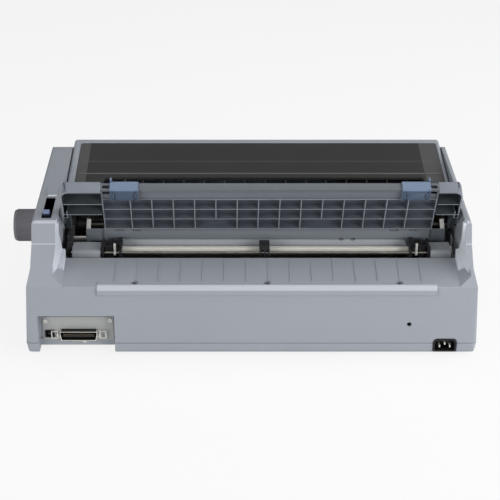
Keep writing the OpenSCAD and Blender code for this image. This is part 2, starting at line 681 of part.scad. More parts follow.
module power_inlet() color(black) {
  difference() {
    inlet_body(0, -1.2, 22);
    along_y(-2, 16) translate([inlet_x, inlet_z])
      polygon(rounded(rectangle(-inlet_hw + 2.6, -inlet_hh + 2.2, inlet_hw - 2.6, inlet_hh - 2.2), [1, 1, 4.5, 4.5]));
  }
  for (p = [[-7, -1.5], [0, 2.5], [7, -1.5]]) block([inlet_x + p[0] - 1, 0, inlet_z + p[1] - 2], [inlet_x + p[0] + 1, 16.5, inlet_z + p[1] + 2]);
}

module main_board() color("#2f5d3a") difference() {
  block([recess_x + 8, recess_d + wall + 1, board_z], [recess_x + recess_w + 90, 104, board_z + 1.6]);
  for (p = board_posts) translate([p[0], p[1], board_z - 1]) cylinder(d = 3, h = 4);
}

// ---------- chassis ----------

module chassis_pan() color(steel) difference() {
  union() {
    block([frame_left - 2, well_end + 8, pan_z], [frame_right + 4, 304, pan_z + pan_t]);
    block([frame_left + 4, 302.5, pan_z], [frame_right - 4, 304, pan_z + 12]);
  }
  for (p = pan_posts) translate([p[0], p[1], pan_z - 1]) cylinder(d = 3.4, h = 4);
  for (i = [-3:3]) translate([paper_x + i * 60, 210, pan_z - 1]) cylinder(d = 24, h = 4);
}

frame_side = [[well_end + 8, pan_z + pan_t], [304, pan_z + pan_t], [304, 84], [262, 106], [208, 110], [190, 139],
  [142, 139], [well_end + 4, 126], [well_end + 4, 60]];

module side_frames() color(steel) {
  for (x = [frame_left, frame_right]) difference() {
    union() {
      along_x(x, x + frame_t) polygon(rounded(frame_side, [0, 0, 8, 12, 6, 6, 6, 4, 4]));
      s = x < 0 ? 0 : 1;
      block([x + s * (frame_t - 12), 200, pan_z + pan_t], [x + 12 + s * (frame_t - 12), 290, pan_z + pan_t + frame_t]);
    }
    rod_x(x - 1, x + 20, platen_y, platen_z, 15);
    rod_x(x - 1, x + 20, shaft_y, shaft_z, shaft_d);
    rod_x(x - 1, x + 20, 240, 50, 46);
    rod_x(x - 1, x + 20, pinion_y, pinion_z, 12);
  }
  // stub that carries the idler
  rod_x(gear_x - 1.5, frame_left + 0.1, idler_y, idler_z, 8);
  rod_x(gear_x - 2.2, gear_x - slip, idler_y, idler_z, 12);
}

module platen_bushes() color(black) for (x = [frame_left, frame_right]) difference() {
  union() {
    rod_x(x - 2, x + frame_t + 3, platen_y, platen_z, 15);
    rod_x(x + frame_t, x + frame_t + 2, platen_y, platen_z, 19);
  }
  rod_x(x - 4, x + 9, platen_y, platen_z, platen_shaft_d + 2 * run);
}

module platen_roller() color(black) difference() {
  rod_x(paper_x - platen_l / 2, paper_x + platen_l / 2, platen_y, platen_z, 2 * platen_r);
  rod_x(paper_x - platen_l, paper_x + platen_l, platen_y, platen_z, platen_shaft_d);
}
module platen_shaft() color(steel) rod_x(knob_end + 12, frame_right + 14, platen_y, platen_z, platen_shaft_d);
module platen_gear() color("#e4e0d4") {
  gear(teeth_platen, gear_x, gear_w, platen_y, platen_z, platen_shaft_d, platen_phase);
  translate([gear_x + gear_w, platen_y, platen_z]) rotate([0, 90, 0]) difference() {
    cylinder(d = 16, h = frame_left - 2 - slip - gear_x - gear_w);
    translate([0, 0, -1]) cylinder(d = platen_shaft_d, h = 40);
  }
}

knob_base = -body_w / 2 - 1.8;
knob_l = knob_base - knob_end;
module feed_knob() color(dark_grey) difference() {
  translate([knob_base, platen_y, platen_z]) rotate([0, -90, 0]) difference() {
    rotate_extrude() polygon(rounded([[0, 0], [knob_d / 2 - 1, 0], [knob_d / 2 + 1, 5], [knob_d / 2, 9],
      [knob_d / 2 - 2.5, knob_l], [0, knob_l]], [0, 1.5, 1.5, 2, 3, 0]));
    // grip flutes
    for (a = [0:15:359]) rotate(a) translate([knob_d / 2 + 0.9, 0, 11]) cylinder(r = 1.9, h = knob_l);
    // hollow end
    translate([0, 0, knob_l - 14]) difference() {
      cylinder(r = knob_d / 2 - 6, h = 20);
      translate([0, 0, -1]) cylinder(r = 9, h = 14);
    }
  }
  rod_x(knob_end + 12, 0, platen_y, platen_z, platen_shaft_d + 2 * run);
}

module idler_gear() color("#e4e0d4") gear(teeth_idler, gear_x, gear_w, idler_y, idler_z, 8 + 2 * run, idler_phase);

module feed_motor() color(steel) difference() {
  union() {
    rod_x(frame_left + frame_t, paper_x - platen_l / 2 - 2, pinion_y, pinion_z, 36);
    block([frame_left + frame_t, pinion_y - 23, pinion_z - 7], [frame_left + frame_t + 1.6, pinion_y + 23, pinion_z + 7]);
    rod_x(gear_x - 1, frame_left + frame_t + 1, pinion_y, pinion_z, 5);
  }
  for (s = [-1, 1]) rod_x(frame_left, frame_left + 6, pinion_y + s * 19.8, pinion_z, 3.2);
}

module motor_pinion() color("#e4e0d4") gear(teeth_pinion, gear_x, gear_w, pinion_y, pinion_z, 5 + 2 * run, pinion_phase);

// ---------- carriage ----------

belt_y = shaft_y + 34;
belt_z = 84;
pulley_x = [frame_left + 34, frame_right - 30];

module carriage_shaft() color(steel) rod_x(frame_left - 4, frame_right + 9, shaft_y, shaft_z, shaft_d);

module carriage_rail() color(steel) {
  x0 = frame_left + frame_t;
  x1 = frame_right;
  block([x0, 284, 62], [x1, 286, 80]);
  block([x0, 284, 78.5], [x1, 300, 80.5]);
  block([x0, 286, 62], [x1, 292, 64]);
}

module carriage_motor() color(dark_grey) {
  translate([pulley_x[1], belt_y, 44]) cylinder(d = 42, h = 30);
  translate([pulley_x[1], belt_y, 73]) cylinder(d = 5, h = 14);
  // bracket down to the pan
  difference() {
    block([pulley_x[1] - 18, belt_y - 22, pan_z + pan_t], [pulley_x[1] + 18, belt_y + 22, 44]);
    block([pulley_x[1] - 15, belt_y - 23, pan_z + pan_t + 2], [pulley_x[1] + 15, belt_y + 23, 41]);
  }
}

module timing_belt() {
  for (s = [-1, 1]) block([pulley_x[0], belt_y + s * 8 - 0.7, belt_z - 3], [pulley_x[1], belt_y + s * 8 + 0.7, belt_z + 3]);
  for (x = pulley_x) translate([x, belt_y, belt_z - 3]) difference() {
    cylinder(r = 8.7, h = 6);
    translate([0, 0, -1]) cylinder(r = 7.3, h = 8);
    block([x < 0 ? 0 : -20, -10, -1], [x < 0 ? 20 : 0, 10, 8]);
  }
}

module belt_pulleys() for (x = pulley_x) translate([x, belt_y, belt_z]) difference() {
  union() {
    translate([0, 0, -3]) cylinder(r = 7.3, h = 6);
    for (z = [-4.2, 3]) translate([0, 0, z]) cylinder(r = 10, h = 1.2);
    // post of the idle pulley
    if (x < 0) translate([0, 0, pan_z + pan_t - belt_z]) cylinder(d = 12, h = belt_z - pan_z - pan_t - 4);
  }
  if (x > 0) translate([0, 0, -6]) cylinder(d = 5, h = 20);
}

module drive_belt() color(black) {
  timing_belt();
  belt_pulleys();
}

module carriage() color(dark_grey) difference() {
  union() {
    translate([carriage_x, 0, 0]) {
      along_x(-34, 34) polygon(rounded([[shaft_y - 13, shaft_z - 7], [shaft_y + 12, shaft_z - 7], [shaft_y + 14, 90],
        [281, 90], [281, 83], [303, 83], [303, 94], [240, 104], [shaft_y - 13, 104]], [4, 2, 1, 0, 1, 1, 3, 3, 3]));
      // cradle of the print head
      for (s = [-1, 1]) translate([s * 19, 0, 0]) along_x(-2, 2)
        polygon(rounded([[shaft_y - 13, 103], [shaft_y + 26, 103], [shaft_y + 14, 122], [shaft_y - 10, 122]], [0, 0, 4, 4]));
    }
  }
  rod_x(carriage_x - 40, carriage_x + 40, shaft_y, shaft_z, shaft_d + 2 * run);
  block([carriage_x - 20, shaft_y - 20, shaft_z - 12], [carriage_x + 20, shaft_y + 20, shaft_z - 5]);
}

module print_head() color(black) translate([carriage_x, 0, 0]) {
  // nose that carries the wires to the platen
  along_x(-7, 7) polygon([[platen_y + platen_r + 2, platen_z - 6], [platen_y + platen_r + 10, platen_z - 12], [shaft_y - 12, 106],
    [shaft_y - 12, 130], [platen_y + platen_r + 10, platen_z + 8], [platen_y + platen_r + 2, platen_z + 2]]);
  translate([0, shaft_y - 12, 118]) rotate([-90, 0, 0]) difference() {
    cylinder(r = 16, h = 30);
    for (z = [7:4:26]) translate([0, 0, z]) difference() {
      cylinder(r = 20, h = 1.8);
      translate([0, 0, -1]) cylinder(r = 13, h = 4);
    }
    translate([-20, 14, -1]) cube([40, 10, 40]);
  }
}

module ribbon_cartridge() color("#3a3a3e") translate([carriage_x, 0, 0]) {
  difference() {
    translate([0, 0, 136]) linear_extrude(12) polygon(rounded([[-62, 206], [62, 206], [62, 262], [-62, 262]], [10, 10, 16, 16]));
    translate([-40, 238, 144]) cylinder(d = 16, h = 6);
  }
  // ribbon arms on both sides of the head
  for (s = [-1, 1]) translate([0, 0, 136]) linear_extrude(10) polygon([[s * 50, 208], [s * 40, 208], [s * 24, 186.5], [s * 30, 186.5]]);
  // legs down to the carriage
  for (s = [-1, 1]) block([s * 28 - 3, 226, 104], [s * 28 + 3, 240, 136.1]);
  translate([-40, 238, 143]) cylinder(d = 12, h = 8);
}

module gap_lever() color(blue) {
  x = frame_right + frame_t + slip;
  difference() {
    union() {
      rod_x(x, x + 5, shaft_y, shaft_z, 22);
      along_x(x, x + 3) polygon(rounded([[shaft_y - 4, shaft_z + 6], [shaft_y + 5, shaft_z + 6], [shaft_y + 10, 140],
        [shaft_y + 4, 140]], [0, 0, 2, 2]));
    }
    rod_x(x - 1, x + 9, shaft_y, shaft_z, shaft_d + 2 * run);
  }
  block([x - 0, shaft_y + 3, 138], [x + 8, shaft_y + 12, 143]);
}

// ---------- tractor ----------

end_left = [frame_left - 15.6, frame_left + 23];
end_right = [frame_right - 24, frame_right + 4];
journal_r = 4.5;

// Outline of a tractor end frame from the side.
end_side = [[74, well_z], [108, well_z], [109, drive_z + 2], [104, drive_z + 9], [92, drive_z + 9], [rod_y - 7, rod_z + 6], [rod_y - 8, rod_z - 8]];

module tractor_frames() color(light_grey) for (e = [end_left, end_right]) difference() {
  along_x(e[0], e[1]) polygon(rounded(end_side, [0, 0, 5, 6, 6, 5, 4]));
  // hollow under the top, open below and towards the middle
  s = e[0] < 0 ? 1 : -1;
  x0 = e[0] < 0 ? e[0] + 3 : e[0] - 1;
  x1 = e[0] < 0 ? e[1] + 1 : e[1] - 3;
  along_x(x0, x1) polygon(inset(end_side, 2.5));
  block([x0, 78, well_z - 1], [x1, 104, well_z + 6]);
  rod_x(e[0] - 1, e[1] + 1, drive_y, drive_z, 2 * (journal_r + run));
  rod_x(e[0] - 1, e[1] + 1, rod_y, rod_z, rod_d);
}

module drive_shaft() color(cream) {
  translate([0, drive_y, drive_z]) block([end_left[0] + 3 + slip, -drive_w / 2, -drive_w / 2], [end_right[1] - 3 - slip, drive_w / 2, drive_w / 2]);
  rod_x(gear_x - 1, end_left[0] + 3.5, drive_y, drive_z, 2 * journal_r);
  rod_x(end_right[1] - 3.5, end_right[1] + 4, drive_y, drive_z, 2 * journal_r);
}

module guide_rod() color(steel) rod_x(end_left[0] - 2, end_right[1] + 2, rod_y, rod_z, rod_d);

module tractor_gear() color("#e4e0d4") gear(teeth_tractor, gear_x, gear_w, drive_y, drive_z, 2 * journal_r, tractor_phase);

sprocket_left_x = end_left[1] + 1.3;
sprocket_right_x = end_right[0] - sprocket_w - 0.5;
cheek_t = 3.5;
drum_r = pin_wheel_r - 0.3;
hub_r = 6.5;
pin_x = 8.5;                 // place of the pins in a sprocket unit, from its outer side
lever_x = 17;                // place of the lock lever

sprocket_side = [[84, 95.5], [111, 95.5], [111.3, 118], [108, 124], [86, 124.5], [rod_y - 4.5, rod_z + 5], [rod_y - 4.5, rod_z - 8]];

// The units are mirror images: side 1 has its outer face at its left, side -1 at its right.
module unit_at(x, side) translate([side > 0 ? x : x + sprocket_w, 0, 0]) mirror([side > 0 ? 0 : 1, 0, 0]) children();

module sprocket(x, side) color(black) unit_at(x, side) {
  for (c = [0, sprocket_w - cheek_t]) difference() {
    union() {
      along_x(c, c + cheek_t) polygon(rounded(sprocket_side, [4, 4, 5, 4, 3, 3, 4]));
      rod_x(c, c + cheek_t, rod_y, rod_z, 9);
    }
    rod_x(c - 1, c + cheek_t + 1, drive_y, drive_z, 2 * (hub_r + run));
    rod_x(c - 1, c + cheek_t + 1, rod_y, rod_z, rod_d + 2 * run);
  }
  // floor under the pin wheel and paper table in front of it
  block([0.5, 86, 95.5], [sprocket_w - 0.5, 109, 97.2]);
  block([sprocket_w - cheek_t, 85, drive_z + 8], [sprocket_w, 108, drive_z + drum_r + 0.5]);
  block([sprocket_w - cheek_t - 4, 85, drive_z + drum_r + 0.4], [sprocket_w, 108, drive_z + drum_r + 1.6]);
  // lugs of the lid
  difference() {
    for (y = [76.5, 97.3]) {
      rod_y_bar(2.2, y, y + 3.2, lid_z, 4.6);
      block([0.2, y, drive_z + hub_r + 0.6], [cheek_t, y + 3.2, lid_z]);
    }
    rod_y_bar(2.2, 70, 110, lid_z, 2 * (1 + run));
  }
}

lid_z = 126.6;
lid_y = [80.2, 96.8];
module rod_y_bar(x, y0, y1, z, d) translate([x, y0, z]) rotate([-90, 0, 0]) cylinder(d = d, h = y1 - y0);

module sprocket_left() sprocket(sprocket_left_x, 1);
module sprocket_right() sprocket(sprocket_right_x, -1);

module pin_wheel(x, side) color(dark_grey) unit_at(x, side) difference() {
  union() {
    rod_x(slip, sprocket_w - slip, drive_y, drive_z, 2 * hub_r);
    rod_x(cheek_t + 1.4, lever_x - 2.5, drive_y, drive_z, 2 * drum_r);
    rod_x(lever_x + 5, sprocket_w - cheek_t - slip, drive_y, drive_z, 2 * drum_r);
    for (i = [0:pin_count - 1]) translate([pin_x, drive_y, drive_z]) rotate([i * 360 / pin_count + 30, 0, 0])
      translate([0, 0, drum_r - 1]) {
        cylinder(r = 1.7, h = 2);
        translate([0, 0, 2]) cylinder(r1 = 1.7, r2 = 1, h = 0.9);
      }
  }
  translate([-1, drive_y, drive_z]) block([0, -drive_w / 2 - slip, -drive_w / 2 - slip], [sprocket_w + 2, drive_w / 2 + slip, drive_w / 2 + slip]);
}
module pin_wheel_left() pin_wheel(sprocket_left_x, 1);
module pin_wheel_right() pin_wheel(sprocket_right_x, -1);

// Lid that holds the paper's edge on the pins; its slot lets the pins pass.
module sprocket_lid(x, side) color(black) unit_at(x, side) {
  difference() {
    union() {
      block([2.2, lid_y[0], lid_z - 0.4], [15, lid_y[1], lid_z + 1.2]);
      block([13.6, lid_y[0], lid_z - 0.4], [15, lid_y[1], lid_z + 2]);
      rod_y_bar(2.2, lid_y[0], lid_y[1], lid_z, 3.4);
    }
    block([pin_x - 2.6, lid_y[0] + 2, lid_z - 3], [pin_x + 2.6, lid_y[1] + 1, lid_z + 4]);
  }
  rod_y_bar(2.2, 77.5, 99.5, lid_z, 2);
}
module sprocket_lid_left() sprocket_lid(sprocket_left_x, 1);
module sprocket_lid_right() sprocket_lid(sprocket_right_x, -1);

// Lever that clamps the unit to the guide rod.
module lock_lever(x, side) color(steel) unit_at(x, side) difference() {
  union() {
    rod_x(lever_x, lever_x + 3, rod_y, rod_z, 7.6);
    along_x(lever_x, lever_x + 3) polygon(rounded([[rod_y - 3, rod_z], [rod_y + 3, rod_z + 1], [rod_y + 1.5, rod_z + 15], [rod_y - 3.5, rod_z + 15]], [0, 0, 1.5, 1.5]));
  }
  rod_x(lever_x - 1, lever_x + 4, rod_y, rod_z, rod_d + 2 * run);
}
module lock_lever_left() lock_lever(sprocket_left_x, 1);
module lock_lever_right() lock_lever(sprocket_right_x, -1);

module paper_support() color(dark_grey) {
  x0 = paper_x - 8.5;
  x1 = paper_x + 5.5;
  difference() {
    along_x(x0, x1) polygon(rounded([[rod_y - 5, rod_z - 5], [drive_y + 6, drive_z - 8], [drive_y + 10, drive_z - 2], [drive_y + 10, drive_z + 8],
      [drive_y + 4, drive_z + 12.5], [rod_y + 4, drive_z + 12.5], [rod_y - 5, rod_z + 4]], [3, 3, 2, 4, 5, 6, 3]));
    rod_x(x0 - 1, x1 + 1, drive_y, drive_z, 2 * (drive_w * 0.7072 + slip));
    rod_x(x0 - 1, x1 + 1, rod_y, rod_z, rod_d + 2 * run);
    for (x = [x0 + 2.2, x0 + 8]) block([x, rod_y - 8, drive_z - 20], [x + 3.8, drive_y - 8, rod_z + 5.4]);
  }
}

module feed_bar() color(mid_grey) {
  low = frame_left + 26;
  high = frame_right - 22;
  difference() {
    union() {
      // upper strip with its slots, lower strip with slanting ends
      block([low, 112, 123], [high, 114.8, 138.6]);
      along_y(112.6, 116.5) polygon([[low + 20, 108], [high - 28, 108], [high - 34, 120.6], [low + 26, 120.6]]);
      block([low, 114.7, 104.5], [high, 117, 138.6]);
      for (s = [0, 1]) {
        x = s == 0 ? frame_left + frame_t : frame_right;
        block([s == 0 ? x : high - 1, 114.7, 118], [s == 0 ? low + 1 : x, 117, 136]);
        block([x - s * 1.6, 114.7, 118], [x - s * 1.6 + 1.6, 142, 130]);
      }
    }
    for (x = [low + 16, low + 40, high - 55, high - 29]) block([x, 111, 134.6], [x + 11, 114, 137.2]);
    // slots that the paper sensor looks through
    for (x = [high - 125, high - 108]) block([x, 111, 119.6], [x + 6, 118, 122]);
  }
}

// ---------- paper guide ----------

ear_left = bay_left + 6;
ear_right = bay_right - 5.5;
guide_left = ear_left + 54.5;
guide_right = ear_right - 32.4;
guide_mid = (guide_left + guide_right) / 2;
guide_pitch = (guide_right - guide_left) / 15.65;
back = -cell_d - 5.5;        // the rear faces of the ribs
sheet = back + cell_d;       // the back of the sheet
ear_back = back - ear_proud;
ear_front = sheet + rib_t + 3.2;
rows = 4;                    // the top row is closed and forms the rail
rows_z = 9;
top_z = rows_z + rows * row_h;
rail_z = top_z - row_h;
ear_z = top_z - 2.3 * row_h;

// The guide's own frame: +Z up the sheet, -Y behind it, the pivot on X.
module guide_place() translate([0, guide_y, guide_z]) rotate([90 - guide_lean, 0, 0]) children();

// Outline of an arm from the pivot's eye up to the ear.
arm_side = [[-6, 1], [5.5, -1], [6, 8], [2.5, 20], [ear_front, ear_z + 8], [ear_back, ear_z + 8], [ear_back, ear_z - 7], [-13, ear_z - 13], [-6.5, 7]];

// Ear and arm beside the sheet, from x0 to x1; side 1 has its outer face at x0, side -1 at x1.
module guide_ear(x0, x1, side) {
  outer = side > 0 ? [x0, x0 + 7] : [x1 - 7, x1];
  difference() {
    intersection() {
      along_x(x0, x1) polygon(rounded([[ear_front, ear_z], [ear_front, top_z - 1], [ear_front - 2, top_z + 0.5], [ear_back, top_z + 0.5], [ear_back, ear_z]],
        [0, 2, 2, 1, 0]));
      along_y(ear_back - 1, ear_front + 1) polygon(rounded(rectangle(x0, ear_z, x1, top_z + 0.6), [3, 3, side > 0 ? 1 : 12, side > 0 ? 12 : 1]));
    }
    // hollow, open at the rear; the sheet's end rib closes it towards the middle
    along_y(ear_back - 2, ear_front - rib_t) polygon(rounded(rectangle(x0 + (side > 0 ? 2 : -1), ear_z + rib_t, x1 - (side > 0 ? -1 : 2), top_z - 2),
      [0.5, 0.5, side > 0 ? 1 : 10, side > 0 ? 10 : 1]));
  }
  block([x0 + 1, ear_back + 1, top_z - 1.32 * row_h], [x1 - 0.1, ear_front - 1, top_z - 1.32 * row_h + rib_t]);
  difference() {
    union() {
      along_x(outer[0], outer[1]) polygon(rounded(arm_side, [3, 3, 5, 4, 0, 0, 4, 4, 5]));
      rod_x(outer[0], outer[1], 0, 0, 13);
    }
    // hollow of the arm
    along_x(outer[0] + rib_t, outer[1] - rib_t) polygon([[ear_back - 1, ear_z - 4], [-7, ear_z - 18], [1, 18], [1, ear_z + 9], [ear_back - 1, ear_z + 9]]);
  }
}

module guide_panel() color(guide_grey) guide_place() {
  difference() {
    union() {
      // sheet, with the closed rail along its top
      block([guide_left, sheet, rows_z], [guide_right, sheet + rib_t, top_z]);
      block([guide_left, back, top_z - 2], [guide_right, sheet + 0.1, top_z]);
      block([guide_left, back + 2.5, rail_z], [guide_right, back + 4, top_z - 1]);
      along_x(guide_left, guide_right) polygon([[back, top_z], [back, top_z - 3.5], [back + 2.6, top_z - 5], [back + 2.6, top_z]]);
    }
    // slots at both ends of the rail
    for (x = [guide_left + 2, guide_right - 14]) {
      block([x, back - 1, top_z - 12], [x + 12, sheet - 2, top_z - 6]);
      block([x, back + 3, top_z - 3], [x + 12, sheet - 2, top_z + 1]);
    }
  }
  // cells
  for (k = [0:rows - 1]) block([guide_left, back, rows_z + k * row_h], [guide_right, sheet + 0.1, rows_z + k * row_h + rib_t]);
  for (i = [0:13]) {
    x = guide_mid + (i - 6.5) * guide_pitch;
    // two ribs stop above the lowest row
    block([x - rib_t / 2, back, rows_z + (i == 4 || i == 9 ? row_h : 0) + 0.2], [x + rib_t / 2, sheet + 0.1, rail_z + 0.2]);
  }
  for (x = [guide_left, guide_right - rib_t]) block([x, back, rows_z], [x + rib_t, sheet + 0.1, top_z]);
  guide_ear(ear_left, guide_left + 0.1, 1);
  guide_ear(guide_right - 0.1, ear_right, -1);
  rod_x(bay_left - wall + 0.2, ear_left + 1, 0, 0, 2 * pin_r);
  rod_x(ear_right - 1, bay_right + wall - 0.2, 0, 0, 2 * pin_r);
}

// A fence that slides along the rail; side -1 is at the left of the paper.
edge_left_x = guide_left + 12.1;
edge_right_x = guide_right - edge_w - 11.1;
module edge_guide(x, side) color(blue) guide_place() {
  x1 = x + edge_w;
  front = sheet + rib_t + slip;
  difference() {
    along_x(x, x1) polygon(rounded([[back - slip - 1.8, top_z - 20.5], [back - slip, top_z - 20.5], [back - slip, top_z + slip],
      [front, top_z + slip], [front, top_z - 34], [front + 1.8, top_z - 34], [front + 1.8, top_z + 2.1], [back - slip - 1.8, top_z + 2.1]],
      [0.8, 0.8, 0.4, 0.4, 0.8, 0.8, 2, 2]));
    // slit round the latch
    along_y(back - 4, back) polygon(round_bar(x + 6, top_z - 21, x1 - 6, top_z - 5, 1));
  }
  // latch with its thumb rib
  along_y(back - slip - 1.6, back - slip) polygon(round_bar(x + 7, top_z - 20, x1 - 7, top_z + 0.5, 2));
  block([x + 9, back - slip - 3.2, top_z - 18.5], [x1 - 9, back - slip, top_z - 16.5]);
  // ribs along both sides
  for (r = [x, x1 - 1.8]) along_x(r, r + 1.8) polygon(rounded([[back - slip - 2.8, top_z - 20.5], [back - slip - 1, top_z - 20.5], [back - slip - 1, top_z + 3], [back - slip - 2.8, top_z + 2]],
    [0, 0, 0.8, 0.8]));
  // fence against the paper's edge, with its stop at the top
  f = side < 0 ? x : x1 - 2;
  along_x(f, f + 2) polygon(rounded([[front + 1, top_z - 46], [front + 11, top_z - 42], [front + 11, top_z - 2], [front + 5, top_z + 5], [front + 1, top_z + 5]], [0, 4, 4, 3, 0]));
}
module edge_guide_left() edge_guide(edge_left_x, -1);
module edge_guide_right() edge_guide(edge_right_x, 1);

// ---------- release lever ----------

release_y = 103;
release_z = pod_z - 26;
module release_lever() color(blue) {
  x0 = lever_slot[0][0] + 3.5;
  x1 = lever_slot[0][1] - 3.5;
  translate([0, release_y, release_z]) rotate([40, 0, 0]) {
    along_x(x0, x1) polygon(rounded([[-4, 0], [4, 0], [3.5, 36], [-3.5, 36]], [0, 0, 3, 3]));
    along_x(x0 - 1.5, x1 + 1.5) polygon(rounded([[-4, 31], [4, 31], [4.5, 43], [-4.5, 43]], [1, 1, 3, 3]));
    rod_x(x0, x1, 0, 0, 14);
    rod_x(lever_slot[0][0] - 8, lever_slot[0][1] + 5.5, 0, 0, 6);
  }
}

module release_bearings() difference() {
  for (x = [lever_slot[0][0] - 9, lever_slot[0][1] + 2.2])
    along_x(x, x + 3.5) polygon(rounded([[release_y - 9, pod_z - 1], [release_y - 6, release_z - 6], [release_y + 6, release_z - 6], [release_y + 9, pod_z - 1]], [0, 6, 6, 0]));
  rod_x(lever_slot[0][0] - 20, bay_left - 1, release_y, release_z, 2 * (3 + run));
}

// ---------- cover ----------

module on_cover() translate([0, cover_y, cover_z]) rotate([cover_slope, 0, 0]) children();
cover_len = norm([crest_y - cover_y, crest_z - cover_z]);
window_y = [4, cover_len - 12];
window_left = cover_left + 11;
window_right = cover_right - 6;
paper_slot_y = 54;
slot_y = [paper_slot_y, paper_slot_y + slot_d];
slot_half = frame_half - 19;
paper_gap = 8;               // clear way for the paper in front of the slot's fingers

// Side outline of the cover's sheet: flat top and the apron down the front.
function sheet_band(t) = let (a = [cover_y, cover_z], b = [crest_y, crest_z], c = [apron_y, apron_z + 2],
    u = unit(b - a), v = unit(c - b), m = [u[1], -u[0]], n = [v[1], -v[0]])
  [a, a + t * m, b + t * (m + n) / (1 + m * n), c + t * n, c, b];

module cover_frame() color(light_grey) {
  difference() {
    union() {
      along_x(cover_left, cover_right) polygon(rounded(sheet_band(cover_t), [0.8, 0.4, 3, 0.4, 0.8, 5]));
      // side flanges with the hinge lugs
      for (x = [cover_left, cover_right - cover_t]) along_x(x, x + cover_t)
        polygon(rounded([[cover_y + 0.4, cover_z - 10], [cover_y + 10, cover_z - 10], [cover_y + 20, cover_z - 6], [crest_y - 12, crest_z - 14],
          [apron_y - 6, apron_z + 3], [apron_y - 1, apron_z + 3], [crest_y - 1, crest_z - 1.5], [cover_y + 0.4, cover_z - 0.4]], [4, 4, 5, 12, 0, 0, 4, 0]));
      rod_x(cover_left, cover_left + 5, hinge_y, hinge_z, 11);
      rod_x(cover_right - 5, cover_right, hinge_y, hinge_z, 11);
      // ribs that join the lugs to the sheet
      for (x = [cover_left, cover_right - 5]) block([x, hinge_y - 3, hinge_z], [x + 5, hinge_y + 5, cover_z - 2]);
    }
    // opening and ledge of the window
    on_cover() translate([0, 0, -wall - 2]) linear_extrude(wall + 4)
      polygon(round_bar(window_left + 3, window_y[0] + 3, window_right - 3, window_y[1] - 3, 2));
    on_cover() translate([0, 0, -window_t]) linear_extrude(6)
      polygon(round_bar(window_left, window_y[0], window_right, window_y[1], 4));
  }
  rod_x(cover_left - cover_gap - wall + 0.2, cover_left + 4, hinge_y, hinge_z, 2 * pin_r);
  rod_x(cover_right - 4, cover_right + cover_gap + wall - 0.2, hinge_y, hinge_z, 2 * pin_r);
}

window_t = 1.6;
module cover_window() color("#4a4a4c") on_cover() difference() {
  union() {
    translate([0, 0, -window_t]) linear_extrude(window_t)
      polygon(round_bar(window_left + 0.2, window_y[0] + 0.2, window_right - 0.2, window_y[1] - 0.2, 3.8));
    // deeper frame around the slot and stiffening ribs below
    translate([0, 0, -4]) linear_extrude(4 - 0.2) polygon(round_bar(paper_x - slot_half - 4, slot_y[0] - 3, paper_x + slot_half + 4, slot_y[1] + 3, 8));
  }
  difference() {
    translate([0, 0, -6]) linear_extrude(8) polygon(round_bar(paper_x - slot_half, slot_y[0], paper_x + slot_half, slot_y[1], 6));
    // fingers that keep the paper off the slot's rear edge
    for (i = [-7:7]) block([paper_x + 2 + i * rib_pitch - 0.8, slot_y[0] - 1, -4], [paper_x + 2 + i * rib_pitch + 0.8, slot_y[1] - paper_gap, -0.2]);
  }
}

module tear_bar() color("#c9c9cc") on_cover() block([window_left + 3, slot_y[1] + 8.4, 0.01], [window_right - 3, slot_y[1] + 11, 0.9]);

// ---------- gear phases ----------

pinion_y = platen_y + (teeth_platen + teeth_pinion) * gear_m / 2 * cos(pinion_angle);
pinion_z = platen_z + (teeth_platen + teeth_pinion) * gear_m / 2 * sin(pinion_angle);

// Angle in a gear's own outline of the line from one axis to another.
function line_angle(y0, z0, y1, z1) = atan2(y1 - y0, z0 - z1);
// Phase of the next gear along such a line, so that its gap meets the tooth.
function next_phase(phase, teeth, next_teeth, angle) = angle + 180 + 180 / next_teeth + (angle - phase) * teeth / next_teeth;
train_line = line_angle(platen_y, platen_z, idler_y, idler_z);
platen_phase = train_line;
idler_phase = next_phase(platen_phase, teeth_platen, teeth_idler, train_line);
tractor_phase = next_phase(idler_phase, teeth_idler, teeth_tractor, train_line);
pinion_phase = next_phase(platen_phase, teeth_platen, teeth_pinion, line_angle(platen_y, platen_z, pinion_y, pinion_z));

module button_1() button(0);
module button_2() button(1);
module button_3() button(2);
module button_4() button(3);
module button_5() button(4);
module button_6() button(5);

place() lower_case();
place() upper_case();
place() rubber_feet();
place() interface_plate();
place() plate_screws();
place() parallel_port();
place() bail_left();
place() bail_right();
place() usb_socket();
place() power_inlet();
place() case_screws();
place() main_board();
place() chassis_pan();
place() side_frames();
place() feed_bar();
place() platen_roller();
place() platen_shaft();
place() platen_gear();
place() platen_bushes();
place() feed_knob();
place() idler_gear();
place() feed_motor();
place() motor_pinion();
place() carriage_motor();
place() drive_belt();
place() carriage_shaft();
place() carriage_rail();
place() carriage();
place() print_head();
place() ribbon_cartridge();
place() gap_lever();
place() tractor_frames();
place() drive_shaft();
place() guide_rod();
place() tractor_gear();
place() sprocket_left();
place() sprocket_right();
place() pin_wheel_left();
place() pin_wheel_right();
place() sprocket_lid_left();
place() sprocket_lid_right();
place() lock_lever_left();
place() lock_lever_right();
place() paper_support();
place() guide_panel();
place() edge_guide_left();
place() edge_guide_right();
place() release_lever();
place() cover_frame();
place() cover_window();
place() tear_bar();
place() control_panel();
place() button_1();
place() button_2();
place() button_3();
place() button_4();
place() button_5();
place() button_6();
place() power_switch();
place() front_cover();
